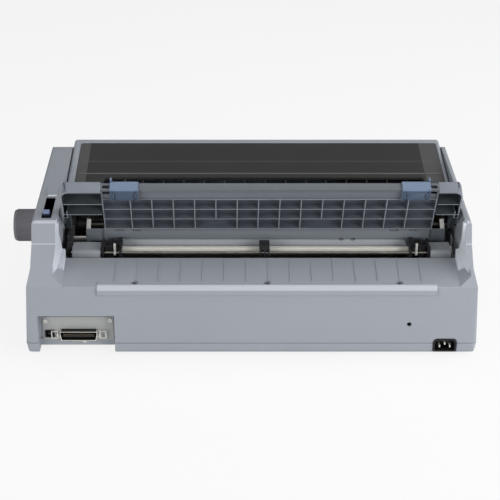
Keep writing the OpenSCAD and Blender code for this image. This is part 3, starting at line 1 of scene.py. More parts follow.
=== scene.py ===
# A wide dot matrix printer, seen from behind and above with its paper guide raised.
# Sizes are in metres, +X to the right in the picture, -Y towards the camera, +Z up.
import json
import math
import bmesh
import bpy
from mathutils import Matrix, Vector

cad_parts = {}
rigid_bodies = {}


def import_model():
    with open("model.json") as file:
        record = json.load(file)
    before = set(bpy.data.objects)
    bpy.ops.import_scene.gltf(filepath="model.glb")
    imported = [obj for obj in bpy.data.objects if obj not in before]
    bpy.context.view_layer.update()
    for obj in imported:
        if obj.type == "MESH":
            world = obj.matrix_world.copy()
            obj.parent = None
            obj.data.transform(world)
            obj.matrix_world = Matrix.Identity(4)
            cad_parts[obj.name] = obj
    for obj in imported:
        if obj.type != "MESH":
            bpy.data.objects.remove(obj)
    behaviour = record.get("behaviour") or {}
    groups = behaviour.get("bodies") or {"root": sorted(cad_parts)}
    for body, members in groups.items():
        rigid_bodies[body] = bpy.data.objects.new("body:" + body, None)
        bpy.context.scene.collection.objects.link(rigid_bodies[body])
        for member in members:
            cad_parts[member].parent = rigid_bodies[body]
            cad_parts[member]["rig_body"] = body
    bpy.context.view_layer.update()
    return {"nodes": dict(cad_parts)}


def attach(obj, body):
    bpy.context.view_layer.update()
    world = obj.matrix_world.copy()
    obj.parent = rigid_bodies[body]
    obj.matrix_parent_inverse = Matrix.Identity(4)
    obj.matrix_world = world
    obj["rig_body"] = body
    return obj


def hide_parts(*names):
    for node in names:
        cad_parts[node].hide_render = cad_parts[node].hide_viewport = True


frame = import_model()
scene = bpy.context.scene
scene.view_settings.view_transform = "Standard"

# ---- The view -------------------------------------------------------------------------------
# A long lens on a tripod behind the printer, 27 degrees above the horizon. The picture is cut
# off-centre, so the lens is shifted by that much.
lens = bpy.data.cameras.new("camera")
lens.lens = 102.3
lens.sensor_width = 36
lens.shift_x = 0.048
lens.clip_start = 0.05
lens.clip_end = 50
camera = bpy.data.objects.new("camera", lens)
camera.location = (-0.0195, -1.85755, 1.0067)
camera.rotation_euler = (math.radians(63), 0, 0)
scene.collection.objects.link(camera)
scene.camera = camera


# ---- Floor and lamps ------------------------------------------------------------------------
# The printer stands on a white sweep of paper, between a pair of soft boxes beside the camera
# and a pair at its sides, with two weak ones overhead and the little that a pale room adds.
class Wire:
    """A socket that takes part in arithmetic, which adds its Math nodes."""

    def __init__(self, bench, socket):
        self.bench = bench
        self.socket = socket

    def work(self, operation, *values):
        return self.bench.node("ShaderNodeMath", {"operation": operation}, dict(enumerate(values)))

    def __add__(self, other):
        return self.work("ADD", self, other)

    def __radd__(self, other):
        return self.work("ADD", other, self)

    def __sub__(self, other):
        return self.work("SUBTRACT", self, other)

    def __rsub__(self, other):
        return self.work("SUBTRACT", other, self)

    def __mul__(self, other):
        return self.work("MULTIPLY", self, other)

    def __rmul__(self, other):
        return self.work("MULTIPLY", other, self)

    def __gt__(self, other):
        return self.work("GREATER_THAN", self, other)

    def __lt__(self, other):
        return self.work("LESS_THAN", self, other)


class Bench:
    """A node tree under construction: node() adds one node and feed() leads a wire to a socket."""

    def __init__(self, tree):
        self.tree = tree

    def node(self, kind, settings=None, sockets=None, out=None):
        made = self.tree.nodes.new(kind)
        for key, value in (settings or {}).items():
            if key == "stops":
                for n, (place, colour) in enumerate(value):
                    stop = made.color_ramp.elements[n] if n < 2 else made.color_ramp.elements.new(place)
                    stop.position = place
                    stop.color = colour
            else:
                setattr(made, key, value)
        for key, value in (sockets or {}).items():
            socket = made.inputs[key] if isinstance(key, int) else self.live(made.inputs, key)
            if isinstance(value, Wire):
                self.tree.links.new(value.socket, socket)
            else:
                socket.default_value = value
        return Wire(self, self.live(made.outputs, out))

    def live(self, sockets, name):
        return next(s for s in sockets if s.enabled and name in (None, s.name))

    def feed(self, socket, wire):
        self.tree.links.new(wire.socket, socket)


class Finish(Bench):
    """A material on the bench. Its settings are constants of the Principled shader."""

    def __init__(self, name, settings):
        self.material = bpy.data.materials.new(name)
        self.material.use_nodes = True
        super().__init__(self.material.node_tree)
        self.shader = self.tree.nodes["Principled BSDF"]
        for socket, value in settings.items():
            self.shader.inputs[socket].default_value = value

    def drive(self, socket, wire):
        self.feed(self.shader.inputs[socket], wire)


def tint(red, green, blue):
    """A colour as it is read off a picture, 0 to 255, in the shader's linear light."""
    parts = [part / 255 for part in (red, green, blue)]
    return tuple(p / 12.92 if p <= 0.04045 else ((p + 0.055) / 1.055) ** 2.4 for p in parts) + (1,)


paper = Finish("white_sweep", {"Base Color": (0.86, 0.86, 0.86, 1), "Roughness": 0.9, "Specular IOR Level": 0.1})
seen = paper.node("ShaderNodeLightPath", out="Is Camera Ray")
mirrored = paper.node("ShaderNodeLightPath", out="Is Glossy Ray")
through = paper.node("ShaderNodeLightPath", out="Is Transmission Ray")
glow = paper.node("ShaderNodeEmission", None, {"Color": (1, 1, 1, 1), "Strength": 1.0})
lit = Wire(paper, paper.shader.outputs[0])
whole = paper.node("ShaderNodeMixShader", None, {0: (seen + mirrored + through) * 0.82, 1: lit, 2: glow})
paper.feed(paper.tree.nodes["Material Output"].inputs["Surface"], whole)
bpy.ops.mesh.primitive_plane_add(size=60)
floor = bpy.context.object
floor.name = "floor"
floor.data.materials.append(paper.material)

scene.world = bpy.data.worlds.new("room")
scene.world.use_nodes = True
room = Bench(scene.world.node_tree)
air = room.tree.nodes["Background"]
air.inputs["Color"].default_value = (1, 1, 1, 1)
room.feed(air.inputs["Strength"], room.node("ShaderNodeLightPath", out="Is Camera Ray") * 0.9 + 0.1)


def soft_box(name, place, target, size, power):
    """A rectangular lamp that faces its target."""
    lamp = bpy.data.lights.new(name, "AREA")
    lamp.shape = "RECTANGLE"
    lamp.size = size[0]
    lamp.size_y = size[1]
    lamp.energy = power
    holder = bpy.data.objects.new(name, lamp)
    holder.location = place
    holder.rotation_euler = (Vector(target) - Vector(place)).to_track_quat("-Z", "Y").to_euler()
    scene.collection.objects.link(holder)


soft_box("soft_box_top", (0, -1.0, 2.2), (0, 0, 0.1), (2.4, 1.0), 5)
soft_box("soft_box_beyond", (0, 0.5, 2.2), (0, 0, 0.1), (2.4, 1.4), 14)
soft_box("soft_box_left", (-2.2, -0.2, 1.2), (0, 0, 0.1), (1.2, 1.4), 5)
soft_box("soft_box_right", (2.2, -0.2, 1.2), (0, 0, 0.1), (1.2, 1.4), 27)
soft_box("soft_box_near_left", (-1.8, -1.8, 0.9), (0, 0, 0.1), (1.2, 1.2), 23)
soft_box("soft_box_near_right", (1.8, -1.8, 0.9), (0, 0, 0.1), (1.2, 1.2), 32)


# ---- Case -----------------------------------------------------------------------------------
# Upper and lower shells, moulded in light blue-grey plastic with a fine spark-eroded grain. They
# meet along a seam 20 mm above the table, and the tool leaves every edge slightly rounded.
def moulded(name, colour, rough=0.5, grain=0.35, pitch=0.0007, tone=0.05, foot=None, coat=0.0):
    """Moulded plastic: cloudy colour and pitted grain. Below its foot it has a second colour."""
    finish = Finish(name, {"Coat Weight": coat, "Coat Roughness": 0.2, "Specular IOR Level": 0.4})
    where = finish.node("ShaderNodeTexCoord", out="Object")
    cloud = finish.node("ShaderNodeTexNoise", None, {"Vector": where, "Scale": 9.0, "Detail": 4.0})
    fine = finish.node("ShaderNodeTexNoise", None, {"Vector": where, "Scale": 1 / pitch, "Detail": 2.0})
    pits = finish.node("ShaderNodeTexVoronoi", {"feature": "F1"}, {"Vector": where, "Scale": 0.6 / pitch})
    dark = tuple(c * (1 - tone) for c in colour[:3]) + (1,)
    pale = tuple(min(1, c * (1 + tone)) for c in colour[:3]) + (1,)
    mixed = {"Factor": cloud * 0.8 + fine * 0.2, "A": dark, "B": pale}
    shade = finish.node("ShaderNodeMix", {"data_type": "RGBA"}, mixed)
    gloss = cloud * 0.16 + (rough - 0.08)
    if foot:
        height = finish.node("ShaderNodeSeparateXYZ", None, {"Vector": where}, "Y")
        limits = {"Value": height, "From Min": foot[0], "From Max": foot[1]}
        above = finish.node("ShaderNodeMapRange", {"clamp": True}, limits)
        shade = finish.node("ShaderNodeMix", {"data_type": "RGBA"}, {"Factor": above, "A": foot[2], "B": shade})
    finish.drive("Base Color", shade)
    finish.drive("Roughness", gloss)
    relief = {"Strength": grain, "Distance": pitch * 0.12, "Height": fine * 0.6 + pits * 0.5}
    finish.drive("Normal", finish.node("ShaderNodeBump", None, relief))
    return finish.material


def at(x, y, z):
    """A point in millimetres from the body's middle, its rear wall and the table, in metres."""
    return Vector(((x + 15) / 1000, (y - 199.75) / 1000, z / 1000))


def body_place(point):
    """The reverse of at()."""
    return (point[0] * 1000 - 15, point[1] * 1000 + 199.75, point[2] * 1000)


def flat_fields(shape):
    """The groups of faces that lie in one plane and touch along their edges."""
    loose = set(shape.faces)
    while loose:
        queue = [loose.pop()]
        field = set(queue)
        while queue:
            face = queue.pop()
            for edge in face.edges:
                for other in edge.link_faces:
                    if other in loose and face.normal.dot(other.normal) > 0.99999:
                        loose.discard(other)
                        field.add(other)
                        queue.append(other)
        yield field


def eased(name, material, width=0.0005, regions=(), rounder=None):
    """A CAD part's own shape with its edges rounded, by ten times the width where rounder holds.

    A region is a finish and a test of a place in the body's millimetres."""
    part = frame["nodes"][name]
    mesh = part.data.copy()
    shape = bmesh.new()
    shape.from_mesh(mesh)
    weight = shape.edges.layers.float.new("bevel_weight_edge")
    bmesh.ops.remove_doubles(shape, verts=shape.verts, dist=1e-6)
    # the triangles of a plain face become one face; a lattice of many holes keeps its triangles
    inner = []
    for field in flat_fields(shape):
        edges = {edge for face in field for edge in face.edges}
        corners = {corner for face in field for corner in face.verts}
        if 1 - (len(corners) - len(edges) + len(field)) <= 3:
            inner += [edge for edge in edges if all(face in field for face in edge.link_faces)]
    bmesh.ops.dissolve_edges(shape, edges=inner, use_verts=False)
    sharp = [e for e in shape.edges if len(e.link_faces) == 2 and e.calc_face_angle(0) > math.radians(28)]
    room = {}
    for edge in sharp:
        for corner in edge.verts:
            room[corner] = min(other.calc_length() for other in corner.link_edges)
    widest = width * (10 if rounder else 1)
    for edge in sharp:
        if rounder and all(rounder(*body_place(corner.co)) for corner in edge.verts):
            edge[weight] = 1
        elif width:
            edge[weight] = min(width, 0.4 * min(room[corner] for corner in edge.verts)) / widest
    for face in shape.faces:
        face.material_index = 0
        place = body_place(face.calc_center_median())
        for n, (finish, test) in enumerate(regions):
            if test(*place):
                face.material_index = n + 1
    mesh.materials.clear()
    for finish in [material] + [region[0] for region in regions]:
        mesh.materials.append(finish)
    shape.to_mesh(mesh)
    shape.free()
    mesh.shade_smooth()
    mesh.set_sharp_from_angle(angle=math.radians(28))
    piece = bpy.data.objects.new(name + "_finished", mesh)
    scene.collection.objects.link(piece)
    if width:
        soft = piece.modifiers.new("soft_edges", "BEVEL")
        soft.width = widest
        soft.segments = 5 if rounder else 2
        soft.limit_method = "WEIGHT"
        soft.use_clamp_overlap = False
        soft.harden_normals = True
        soft.miter_outer = "MITER_ARC"
    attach(piece, part["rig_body"])
    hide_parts(name)
    return piece


case_grey = moulded("case_grey", tint(157, 162, 170), rough=0.55)
base_grey = moulded("base_grey", tint(157, 162, 170), rough=0.55)
# Painted highlight: a paler copy of the case colour, put on the lip's rounded top and on the two creases of each
# shoulder.
case_rubbed = moulded("case_rubbed", tint(190, 194, 203), rough=0.4)
# Painted highlight for the bay's inner slopes, steps and ribs, brighter on the right than on the left; below its
# foot it returns to the case colour.
foot = (-0.182, -0.175, tint(157, 162, 170))
bay_highlight_paint_left = moulded("bay_lining_left", tint(204, 208, 217), rough=0.5, foot=foot)
bay_highlight_paint_right = moulded("bay_lining_right", tint(222, 227, 233), rough=0.5, foot=foot)
# Regions of the upper case that carry painted highlights: the lip, the shoulder creases and the bay's inner
# slopes.
case_highlight_regions = (
    (case_rubbed, lambda x, y, z: y < 3.5 and 103 < z < 110 and abs(x - 20) < 226),
    (case_rubbed, lambda x, y, z: 54 < y < 66 and 168 < z < 175),
    (case_rubbed, lambda x, y, z: 44.5 < y < 50 and 144 < z < 149.5),
    (bay_highlight_paint_left, lambda x, y, z: -264.5 < x < -250 and 20 < y < 66 and 112 < z < 172),
    (bay_highlight_paint_right, lambda x, y, z: 275 < x < 289.4 and 20 < y < 66 and 112 < z < 172),
)
eased("upper_case", case_grey, 0.0006, case_highlight_regions)
eased("lower_case", base_grey, 0.0006)

# ---- Feet -----------------------------------------------------------------------------------
# Five black rubber pads pressed into the base.
rubber = moulded("foot_rubber", tint(38, 38, 40), rough=0.85, grain=0.6, pitch=0.0011)
eased("rubber_feet", rubber, 0.0004)


# ---- Slide plate of the release lever ---------------------------------------------------------
# A small polished plate let into the left shoulder, where the lever's slot ends.
def plate_of(name, corners, height, body, material, corner=0.0008, bends=3):
    """A flat piece: its outline is four corners in a plane, and it stands up from there."""
    shape = bmesh.new()
    low = [shape.verts.new(at(*place)) for place in corners]
    base = shape.faces.new(low)
    base.normal_update()
    lift = base.normal * height / 1000
    raised = bmesh.ops.extrude_face_region(shape, geom=[base])
    bmesh.ops.translate(shape, vec=lift, verts=[v for v in raised["geom"] if isinstance(v, bmesh.types.BMVert)])
    bmesh.ops.recalc_face_normals(shape, faces=shape.faces)
    mesh = bpy.data.meshes.new(name)
    shape.to_mesh(mesh)
    shape.free()
    mesh.materials.append(material)
    mesh.shade_smooth()
    piece = bpy.data.objects.new(name, mesh)
    scene.collection.objects.link(piece)
    soft = piece.modifiers.new("soft_edges", "BEVEL")
    soft.width = corner
    soft.segments = bends
    soft.harden_normals = True
    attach(piece, body)
    return piece


polished = moulded("polished_plate", tint(232, 234, 238), rough=0.3, grain=0.05, tone=0.03, coat=0.5)
pad = [(-282.5, 140, 174.6), (-270.5, 140, 174.6), (-270.5, 163, 174.6), (-282.5, 163, 174.6)]
plate_of("slide_plate", pad, 1.0, "chassis", polished, 0.0007)

# ---- Steps of the bay -------------------------------------------------------------------------
# At the foot of each shoulder a sloping step and an upright rib stiffen the wall of the bay. They
# are moulded with the case, and their faces carry a painted highlight, brighter on the right side.
for side, x, wide, finish in (("left", -271, 18, bay_highlight_paint_left), ("right", 278, 13, bay_highlight_paint_right)):
    slope = [(x, 36, 111.2), (x, 66, 115), (x, 66, 131), (x, 36, 117.6)]
    plate_of("bay_step_" + side, slope, wide, "chassis", finish, 0.0012)
    near = x + 6.5
    rib = [(near, 59, 126), (near + 4.5, 59, 126), (near + 4.5, 66, 126), (near, 66, 126)]
    plate_of("bay_rib_" + side, rib, 46, "chassis", finish, 0.0008)


# ---- Chassis --------------------------------------------------------------------------------
# Galvanized steel pan and side frames that carry the shafts, with the board under them. The rear
# edge of each side frame is folded over, and shows as a light strip beside the tractor.
def metal(name, colour, rough=0.35, brushed=(40, 900, 900), strength=0.15, tone=0.08, bare=1.0):
    """Bare metal with a drawn grain; the short scale runs along the brushing."""
    finish = Finish(name, {"Metallic": bare})
    where = finish.node("ShaderNodeTexCoord", out="Object")
    along = finish.node("ShaderNodeMapping", None, {"Vector": where, "Scale": brushed})
    lines = finish.node("ShaderNodeTexNoise", None, {"Vector": along, "Scale": 1.0, "Detail": 3.0})
    cloud = finish.node("ShaderNodeTexNoise", None, {"Vector": where, "Scale": 25.0, "Detail": 3.0})
    dark = tuple(c * (1 - tone) for c in colour[:3]) + (1,)
    pale = tuple(min(1, c * (1 + tone)) for c in colour[:3]) + (1,)
    mixed = {"Factor": lines * 0.5 + cloud * 0.5, "A": dark, "B": pale}
    finish.drive("Base Color", finish.node("ShaderNodeMix", {"data_type": "RGBA"}, mixed))
    finish.drive("Roughness", lines * 0.2 + (rough - 0.1))
    relief = {"Strength": strength, "Distance": 0.00005, "Height": lines}
    finish.drive("Normal", finish.node("ShaderNodeBump", None, relief))
    return finish.material


class Jig(Bench):
    """Geometry Nodes that set one shape at many places. Its sizes are inputs with plain names."""

    def __init__(self, name, sizes):
        super().__init__(bpy.data.node_groups.new(name, "GeometryNodeTree"))
        self.name = name
        self.sizes = sizes
        self.keys = {}
        kinds = {int: "NodeSocketInt", float: "NodeSocketFloat", tuple: "NodeSocketVector"}
        sockets = self.tree.interface
        sockets.new_socket("Places", in_out="INPUT", socket_type="NodeSocketGeometry")
        for title, value in sizes.items():
            made = sockets.new_socket(title, in_out="INPUT", socket_type=kinds[type(value)])
            self.keys[title] = made.identifier
        sockets.new_socket("Geometry", in_out="OUTPUT", socket_type="NodeSocketGeometry")
        self.entry = self.tree.nodes.new("NodeGroupInput")
        self.exit = self.tree.nodes.new("NodeGroupOutput")

    def size(self, title):
        return Wire(self, self.entry.outputs[title])

    def cube(self):
        return self.node("GeometryNodeMeshCube", None, {"Size": self.size("Size")}, "Mesh")

    def rod(self):
        sizes = {title: self.size(title) for title in ("Vertices", "Radius", "Depth")}
        return self.node("GeometryNodeMeshCylinder", None, sizes, "Mesh")

    def ball(self):
        sizes = {title: self.size(title) for title in ("Segments", "Rings", "Radius")}
        return self.node("GeometryNodeMeshUVSphere", None, sizes, "Mesh")

    def repeat(self, shape, places, turn, material, body, slot):
        """Sets the shape at each place and makes one plain piece of it all."""
        sockets = {"Points": self.size("Places"), "Instance": shape, "Rotation": turn}
        rows = self.node("GeometryNodeInstanceOnPoints", None, sockets)
        real = self.node("GeometryNodeRealizeInstances", None, {"Geometry": rows})
        done = self.node("GeometryNodeSetMaterial", None, {"Geometry": real, "Material": material})
        self.feed(self.exit.inputs[0], done)
        points = bpy.data.meshes.new(self.name + "_places")
        points.from_pydata([at(*place) for place in places], [], [])
        piece = bpy.data.objects.new(self.name, points)
        scene.collection.objects.link(piece)
        work = piece.modifiers.new("jig", "NODES")
        work.node_group = self.tree
        for title, key in self.keys.items():
            work[key] = self.sizes[title]
        ready = piece.evaluated_get(bpy.context.evaluated_depsgraph_get())
        mesh = bpy.data.meshes.new_from_object(ready)
        piece.modifiers.remove(work)
        piece.data = mesh
        mesh.shade_smooth()
        mesh.set_sharp_from_angle(angle=math.radians(35))
        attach(piece, body)
        return piece


zinc = metal("zinc_sheet", tint(176, 176, 172), rough=0.42, brushed=(120, 120, 120), tone=0.12)
board_lacquer = moulded("board_lacquer", tint(40, 84, 52), rough=0.3, grain=0.2, tone=0.2)
for name in ("chassis_pan", "side_frames"):
    eased(name, zinc, 0.0003)
eased("main_board", board_lacquer, 0)
for name, x in (("left_frame_edge", -230), ("right_frame_edge", 265.6)):
    fold = [(x, 143.5, 138.3), (x, 122.5, 124.8), (x + 6, 122.5, 124.8), (x + 6, 143.5, 138.3)]
    plate_of(name, fold, -1.2, "chassis", zinc, 0.0004)
chip_black = moulded("chip_black", tint(34, 34, 36), rough=0.4, grain=0.2)
chips = Jig("board_chips", {"Size": (0.02, 0.0075, 0.0036)})
rows = [(x, y, 15.2) for x in (-206, -178, -150, -122) for y in (44, 62, 80)]
chips.repeat(chips.cube(), rows, (0, 0, 0), chip_black, "chassis", "black_plastic")

# ---- Connectors -----------------------------------------------------------------------------
# A zinc plated panel in the recess holds the parallel port with its wire bails and the square
# socket beside it. The mains inlet is a black moulding with three pins, let into the base.
plate_beige = moulded("panel_lacquer", tint(170, 171, 171), rough=0.4, grain=0.1, tone=0.04)
nickel = metal("nickel_shell", tint(216, 216, 210), rough=0.3, brushed=(300, 300, 300), strength=0.05, bare=0.4)
socket_black = moulded("socket_black", tint(26, 26, 28), rough=0.45)
contact = metal("contact_metal", tint(214, 196, 150), rough=0.25, strength=0.05)
eased("interface_plate", plate_beige, 0.0003)
port_x = -234.4
port_z = 27.5
port_regions = (
    (socket_black, lambda x, y, z: abs(x - port_x) < 25.4 and abs(z - port_z) < 6.3 and y > 6.3),
    (socket_black, lambda x, y, z: abs(x - port_x) < 22 and z - port_z > 6.5 and y > 7.3),
    (contact, lambda x, y, z: abs(x - port_x) < 21.5 and 1.9 < abs(z - port_z) < 2.5 and y > 7.8),
)
eased("parallel_port", nickel, 0.0002, port_regions)
eased("usb_socket", socket_black, 0.0002)
pins = ((nickel, lambda x, y, z: abs(x - 262) < 8.2 and abs(z - 16.5) < 6 and -0.2 < y < 15.8),)
eased("power_inlet", socket_black, 0.0004, pins)
for name in ("bail_left", "bail_right", "plate_screws", "case_screws"):
    eased(name, nickel, 0.00015)

# ---- Platen and its drive -------------------------------------------------------------------
# A black rubber roller on a steel shaft in two bushes, turned by the knob or by a motor through
# a train of dark acetal gears.
platen_rubber = moulded("platen_rubber", tint(30, 30, 32), rough=0.7, grain=0.4, pitch=0.0004)
ground_steel = metal("ground_steel", tint(206, 202, 188), rough=0.25)
acetal = moulded("dark_acetal", tint(62, 62, 64), rough=0.4, grain=0.15)
motor_black = moulded("motor_black", tint(40, 40, 42), rough=0.45)
eased("platen_roller", platen_rubber, 0.0004)
dull_steel = metal("dull_steel", tint(112, 112, 108), rough=0.4)
eased("platen_shaft", dull_steel, 0.0002)
for name in ("platen_gear", "idler_gear", "tractor_gear", "motor_pinion", "platen_bushes"):
    eased(name, acetal, 0.0001)
eased("feed_motor", motor_black, 0.0003)

# ---- Knob -----------------------------------------------------------------------------------
# A turned-looking knob of dark warm grey plastic: a flange, a grip with fine ridges along it, a
# rounded rim and a hollow end. The hub is pressed onto the platen's shaft.
knob_grey = moulded("knob_grey", tint(115, 114, 119), rough=0.5)
profile = [(0, 5.06), (0, 22.2), (0.6, 23.1), (1.6, 23.5), (5.2, 23.5), (5.9, 22.9), (6.6, 22.7), (29.6, 22.4),
           (31.4, 22.0), (32.6, 21.2), (33.1, 20.2), (33.2, 18.2), (32.8, 17.6), (31.6, 17.3), (20.6, 16.8),
           (19.8, 16.2), (19.6, 10.2), (20.2, 9.4), (31.4, 8.8), (32.2, 8.2), (32.2, 5.06)]
sides = 96
shape = bmesh.new()
rings = []
for out, radius in profile:
    turns = [2 * math.pi * n / sides for n in range(sides)]
    rings.append([shape.verts.new(at(-301.8 - out, 165 + radius * math.cos(a), 118 + radius * math.sin(a)))
                  for a in turns])
for near, far in zip(rings, rings[1:] + rings[:1]):
    for n in range(sides):
        shape.faces.new((near[n], near[n - 1], far[n - 1], far[n]))
bmesh.ops.recalc_face_normals(shape, faces=shape.faces)
mesh = bpy.data.meshes.new("knob_body")
shape.to_mesh(mesh)
shape.free()
mesh.materials.append(knob_grey)
mesh.shade_smooth()
mesh.set_sharp_from_angle(angle=math.radians(50))
knob = bpy.data.objects.new("knob_body", mesh)
scene.collection.objects.link(knob)
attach(knob, "platen")
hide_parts("feed_knob")
grip = Jig("knob_ridges", {"Vertices": 6, "Radius": 0.0005, "Depth": 0.0222})
turns = [math.radians(5 * n) for n in range(72)]
rows = [(-319.9, 165 + 22.6 * math.cos(a), 118 + 22.6 * math.sin(a)) for a in turns]
grip.repeat(grip.rod(), rows, (0, math.pi / 2, 0), knob_grey, "platen", "knob_plastic")

# ---- Carriage -------------------------------------------------------------------------------
# The head rides on a round shaft and a folded rail, drawn by a toothed belt. The ribbon's
# cartridge is clipped over it, and a lever at the right sets the gap to the platen.
dark_plastic = moulded("dark_plastic", tint(52, 52, 55), rough=0.5)
head_black = metal("head_casting", tint(58, 58, 60), rough=0.5, brushed=(200, 200, 200), strength=0.3)
belt_rubber = moulded("belt_rubber", tint(28, 28, 30), rough=0.75, grain=0.5)
lever_blue = moulded("lever_blue", tint(96, 120, 150), rough=0.4)
for name in ("carriage_shaft", "carriage_rail"):
    eased(name, dull_steel, 0.0002)
eased("carriage_motor", motor_black, 0.0004)
eased("drive_belt", belt_rubber, 0.0002)
eased("carriage", dark_plastic, 0.0004)
eased("print_head", head_black, 0.0002)
eased("ribbon_cartridge", dark_plastic, 0.0006)
eased("gap_lever", lever_blue, 0.0004)
teeth = Jig("belt_teeth", {"Size": (0.0016, 0.0009, 0.0056)})
rows = [(x, y, 84) for x in range(-184, 230, 5) for y in (248.95, 263.05)]
teeth.repeat(teeth.cube(), rows, (0, 0, 0), belt_rubber, "chassis", "black_plastic")
ridges = Jig("ribbon_knob_ridges", {"Vertices": 6, "Radius": 0.0005, "Depth": 0.0026})
turn = [math.radians(12 * n) for n in range(30)]
rows = [(150 + 6 * math.cos(a), 238 + 6 * math.sin(a), 149.5) for a in turn]
ridges.repeat(ridges.rod(), rows, (0, 0, 0), dark_plastic, "carriage", "dark_plastic")

# ---- Tractor --------------------------------------------------------------------------------
# Two black tractor units and a middle support ride on a square shaft and a round rod between
# light grey end blocks. Each has a pin wheel, a lid over the pins and a steel locking lever.
end_grey = moulded("end_block_grey", tint(152, 157, 162), rough=0.5)
shaft_cream = metal("passivated_shaft", tint(253, 250, 240), rough=0.4, tone=0.02, bare=0.0)
tractor_black = moulded("tractor_black", tint(34, 34, 37), rough=0.42)
support_black = moulded("support_black", tint(44, 44, 47), rough=0.45)
eased("tractor_frames", end_grey, 0.0005)
eased("drive_shaft", shaft_cream, 0.0002)
eased("guide_rod", ground_steel, 0.0001)
for name in ("sprocket_left", "sprocket_right", "sprocket_lid_left", "sprocket_lid_right"):
    eased(name, tractor_black, 0.0003)
for name in ("pin_wheel_left", "pin_wheel_right"):
    eased(name, dark_plastic, 0.0002)
for name in ("lock_lever_left", "lock_lever_right"):
    eased(name, nickel, 0.0003)
clip = ((nickel, lambda x, y, z: x > 20.5 and z > 121),)
eased("paper_support", support_black, 0.0005, clip)

# ---- Feed bar -------------------------------------------------------------------------------
# The long grey moulding between the side frames that leads the paper from the tractor to the
# platen, with slots near its ends and two small windows for the paper sensor.
bar_grey = moulded("bar_grey", tint(121, 128, 135), rough=0.5, tone=0.06)
# Painted highlight: the bar's lower strip, below 121 mm, gets a paler copy of its grey.
bar_pale = moulded("bar_pale", tint(175, 179, 184), rough=0.5, tone=0.06)
lower_strip_highlight_paint = ((bar_pale, lambda x, y, z: z < 121),)
eased("feed_bar", bar_grey, 0.0003, lower_strip_highlight_paint)

# ---- Paper guide ----------------------------------------------------------------------------
# The dark grey lattice that folds up behind the cover. Its top row is closed and forms the rail
# of the two edge guides, and an open ear at each end carries it on its pivots.
guide_grey = moulded("guide_grey", tint(112, 117, 124), rough=0.45)
ear_grey = moulded("ear_grey", tint(126, 132, 142), rough=0.42)
# Painted shade: a darker copy of the guide's grey inside the lattice's cells.
guide_deep = moulded("guide_deep", tint(84, 89, 98), rough=0.55)
# Painted highlight: a paler grey on the front edges of the ribs.
guide_edge = moulded("guide_edge", tint(142, 147, 155), rough=0.45)
# Painted shade: a still darker grey in the hollows of the ears.
ear_deep = moulded("ear_deep", tint(62, 68, 72), rough=0.55)
guide_rail = moulded("guide_rail", tint(99, 105, 111), rough=0.45)


def on_guide(x, y, z):
    """A place in the guide's own frame: across, through the sheet and up along it."""
    lean = math.radians(28)
    return (x, (y - 120) * math.cos(lean) + (z - 142) * math.sin(lean),
            (z - 142) * math.cos(lean) - (y - 120) * math.sin(lean))


def in_cell(x, y, z):
    """Inside the lattice's cells, between the sheet and the front edges of the ribs, where shade is painted."""
    x, through, up = on_guide(x, y, z)
    return -202 < x < 249.5 and -14.5 < through < -4.9 and up < 75.3


def in_ear(x, y, z):
    """On the shelves, the walls and the back of an ear's hollow, where shade is painted."""
    x, through, up = on_guide(x, y, z)
    return not -202 < x < 249.5 and -14.5 < through < -1.9 and up < 80


def on_edge(x, y, z):
    """The front edges of the ribs, which get a painted highlight."""
    x, through, up = on_guide(x, y, z)
    return through < -15.3 and up < 77.5


def railed(x, y, z):
    x, through, up = on_guide(x, y, z)
    return -201 < x < 248.5 and up > 94.8


ears = (
    (guide_rail, railed),
    (ear_grey, lambda x, y, z: x < -202 or x > 249.5),
    (guide_deep, in_cell),
    (ear_deep, in_ear),
    (guide_edge, on_edge),
)
eased("guide_panel", guide_grey, 0.0003, ears)

# ---- Edge guides ----------------------------------------------------------------------------
# Grey-blue fences that slide along the rail. Each has a latch with a thumb rib between two side
# ribs, and four dark discs at its corners for small locating holes, their darkness painted shade.
guide_blue = moulded("guide_blue", tint(112, 130, 155), rough=0.4)
hole_dark = moulded("hole_dark", tint(30, 32, 38), rough=0.6)
# Painted shade: a darker copy of the blue on a band of each fence's rear face below its top.
blue_shaded = moulded("guide_blue_rear", tint(79, 94, 115), rough=0.4)
lean = math.radians(28)


def behind(x, y, z):
    x, through, up = on_guide(x, y, z)
    return through < -15.4 and 77.5 < up < 96.5


for side, x in (("left", -189.4), ("right", 200.0)):
    eased("edge_guide_" + side, guide_blue, 0.0004, ((blue_shaded, behind),))
    holes = Jig("edge_holes_" + side, {"Vertices": 12, "Radius": 0.0008, "Depth": 0.0005})
    rows = []
    for px in (x + 4.2, x + 33.8):
        for up in (79.5, 95.2):
            rows.append((px, 120 - 17.7 * math.cos(lean) - up * math.sin(lean),
                         142 - 17.7 * math.sin(lean) + up * math.cos(lean)))
    turn = (math.radians(118), 0, 0)
    holes.repeat(holes.rod(), rows, turn, hole_dark, "edge_guide_" + side, "dark_plastic")

# ---- Release lever --------------------------------------------------------------------------
# A dark blue lever in the slot of the left shoulder that lifts the pressure rollers off the paper.
# Its top is painted light blue, a painted highlight.
navy = moulded("lever_navy", tint(44, 52, 72), rough=0.4)
# Painted highlight: the lever's top, above 179.5 mm, is a light blue.
lever_top_highlight_paint = moulded("lever_cap", tint(112, 128, 158), rough=0.35)
lever_top_region = ((lever_top_highlight_paint, lambda x, y, z: z > 179.5),)
eased("release_lever", navy, 0.0004, lever_top_region)

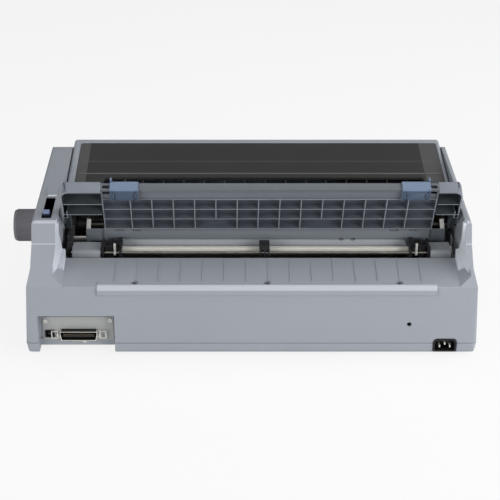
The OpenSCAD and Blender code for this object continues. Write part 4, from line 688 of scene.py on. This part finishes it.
# ---- Cover ----------------------------------------------------------------------------------
# The hinged printer cover: a frame in the case's plastic and a smoked window with the paper
# slot. Inside the window's ends lie lighter mounting strips, and a thin tear edge crosses it.
smoke = Finish("smoked_window", {"Specular IOR Level": 0.5, "Alpha": 0.86, "Coat Weight": 0.0})
where = smoke.node("ShaderNodeTexCoord", out="Object")
across = smoke.node("ShaderNodeSeparateXYZ", None, {"Vector": where}, "X")
haze = smoke.node("ShaderNodeTexNoise", None, {"Vector": where, "Scale": 7.0, "Detail": 3.0})
dust = smoke.node("ShaderNodeTexNoise", None, {"Vector": where, "Scale": 900.0, "Detail": 2.0})
strips = (across < -0.2225) + (across > 0.2700)
clear = smoke.node("ShaderNodeMix", {"data_type": "RGBA"}, {"Factor": haze, "A": tint(60, 60, 61), "B": tint(72, 71, 71)})
smoke.drive("Base Color", smoke.node("ShaderNodeMix", {"data_type": "RGBA"}, {"Factor": strips, "A": clear, "B": tint(95, 95, 96)}))
smoke.drive("Roughness", haze * 0.1 + dust * 0.06 + 0.1)


def cover_side(x, y, z):
    """Whether a corner lies on the upper side edges of the cover's sheet."""
    outer = 158 + (y - 150) * 20 / 189 if y < 339 else 178 - (y - 339) * 48 / 34
    return (x < -263.9 or x > 287.9) and y > 152 and z > outer - 2.2


eased("cover_frame", case_grey, 0.00055, (), cover_side)
eased("cover_window", smoke.material, 0.0003)
tear_steel = metal("tear_edge", tint(112, 112, 112), rough=0.4, bare=0.2)
eased("tear_bar", tear_steel, 0)
slope = math.atan2(20, 189)


def on_cover(x, y, z):
    """A point of the cover's sheet: along its slope from the hinge, and up from its face."""
    return (x, 150 + y * math.cos(slope) - z * math.sin(slope), 158 + y * math.sin(slope) + z * math.cos(slope))


roller_brown = moulded("roller_brown", tint(96, 82, 74), rough=0.6, tone=0.15)
roller_teal = moulded("roller_teal", tint(74, 88, 90), rough=0.6, tone=0.15)
for name, finish, start in (("slot_rollers_a", roller_brown, 0), ("slot_rollers_b", roller_teal, 1)):
    rollers = Jig(name, {"Vertices": 20, "Radius": 0.0022, "Depth": 0.02})
    rows = [on_cover(22 + (n - 6.5) * 29.3, 63, -6.5) for n in range(start, 14, 2)]
    rollers.repeat(rollers.rod(), rows, (0, math.pi / 2, 0), finish, "cover", "dark_plastic")
axle = Jig("slot_axle", {"Vertices": 12, "Radius": 0.0008, "Depth": 0.43})
axle.repeat(axle.rod(), [on_cover(22, 63, -6.5)], (0, math.pi / 2, 0), ground_steel, "cover", "shaft_steel")

# ---- Operator's side ------------------------------------------------------------------------
# A sloping panel with six keys and an indicator lamp above each, a rocker switch with its frame
# in the case, and a flap that drops open in front.
panel_grey = moulded("panel_grey", tint(122, 127, 135), rough=0.5)
key_grey = moulded("key_grey", tint(176, 180, 186), rough=0.45)
lamp_green = moulded("lamp_green", tint(88, 150, 84), rough=0.2, grain=0.05, coat=0.6)
eased("control_panel", panel_grey, 0.0003)
eased("front_cover", case_grey, 0.0004)
eased("power_switch", socket_black, 0.0004)
for n in range(6):
    eased("button_%d" % (n + 1), key_grey, 0.0005)
tilt = math.radians(-47.2)
lamps = Jig("indicator_lamps", {"Segments": 16, "Rings": 10, "Radius": 0.0011})
rows = [(-165 + (n - 2.5) * 21 - 6, 387.3 - 7.3 * math.cos(tilt) - 1.4 * math.sin(tilt),
         110.6 - 7.3 * math.sin(tilt) + 1.4 * math.cos(tilt)) for n in range(6)]
lamps.repeat(lamps.ball(), rows, (tilt, 0, 0), lamp_green, "chassis", "dark_plastic")
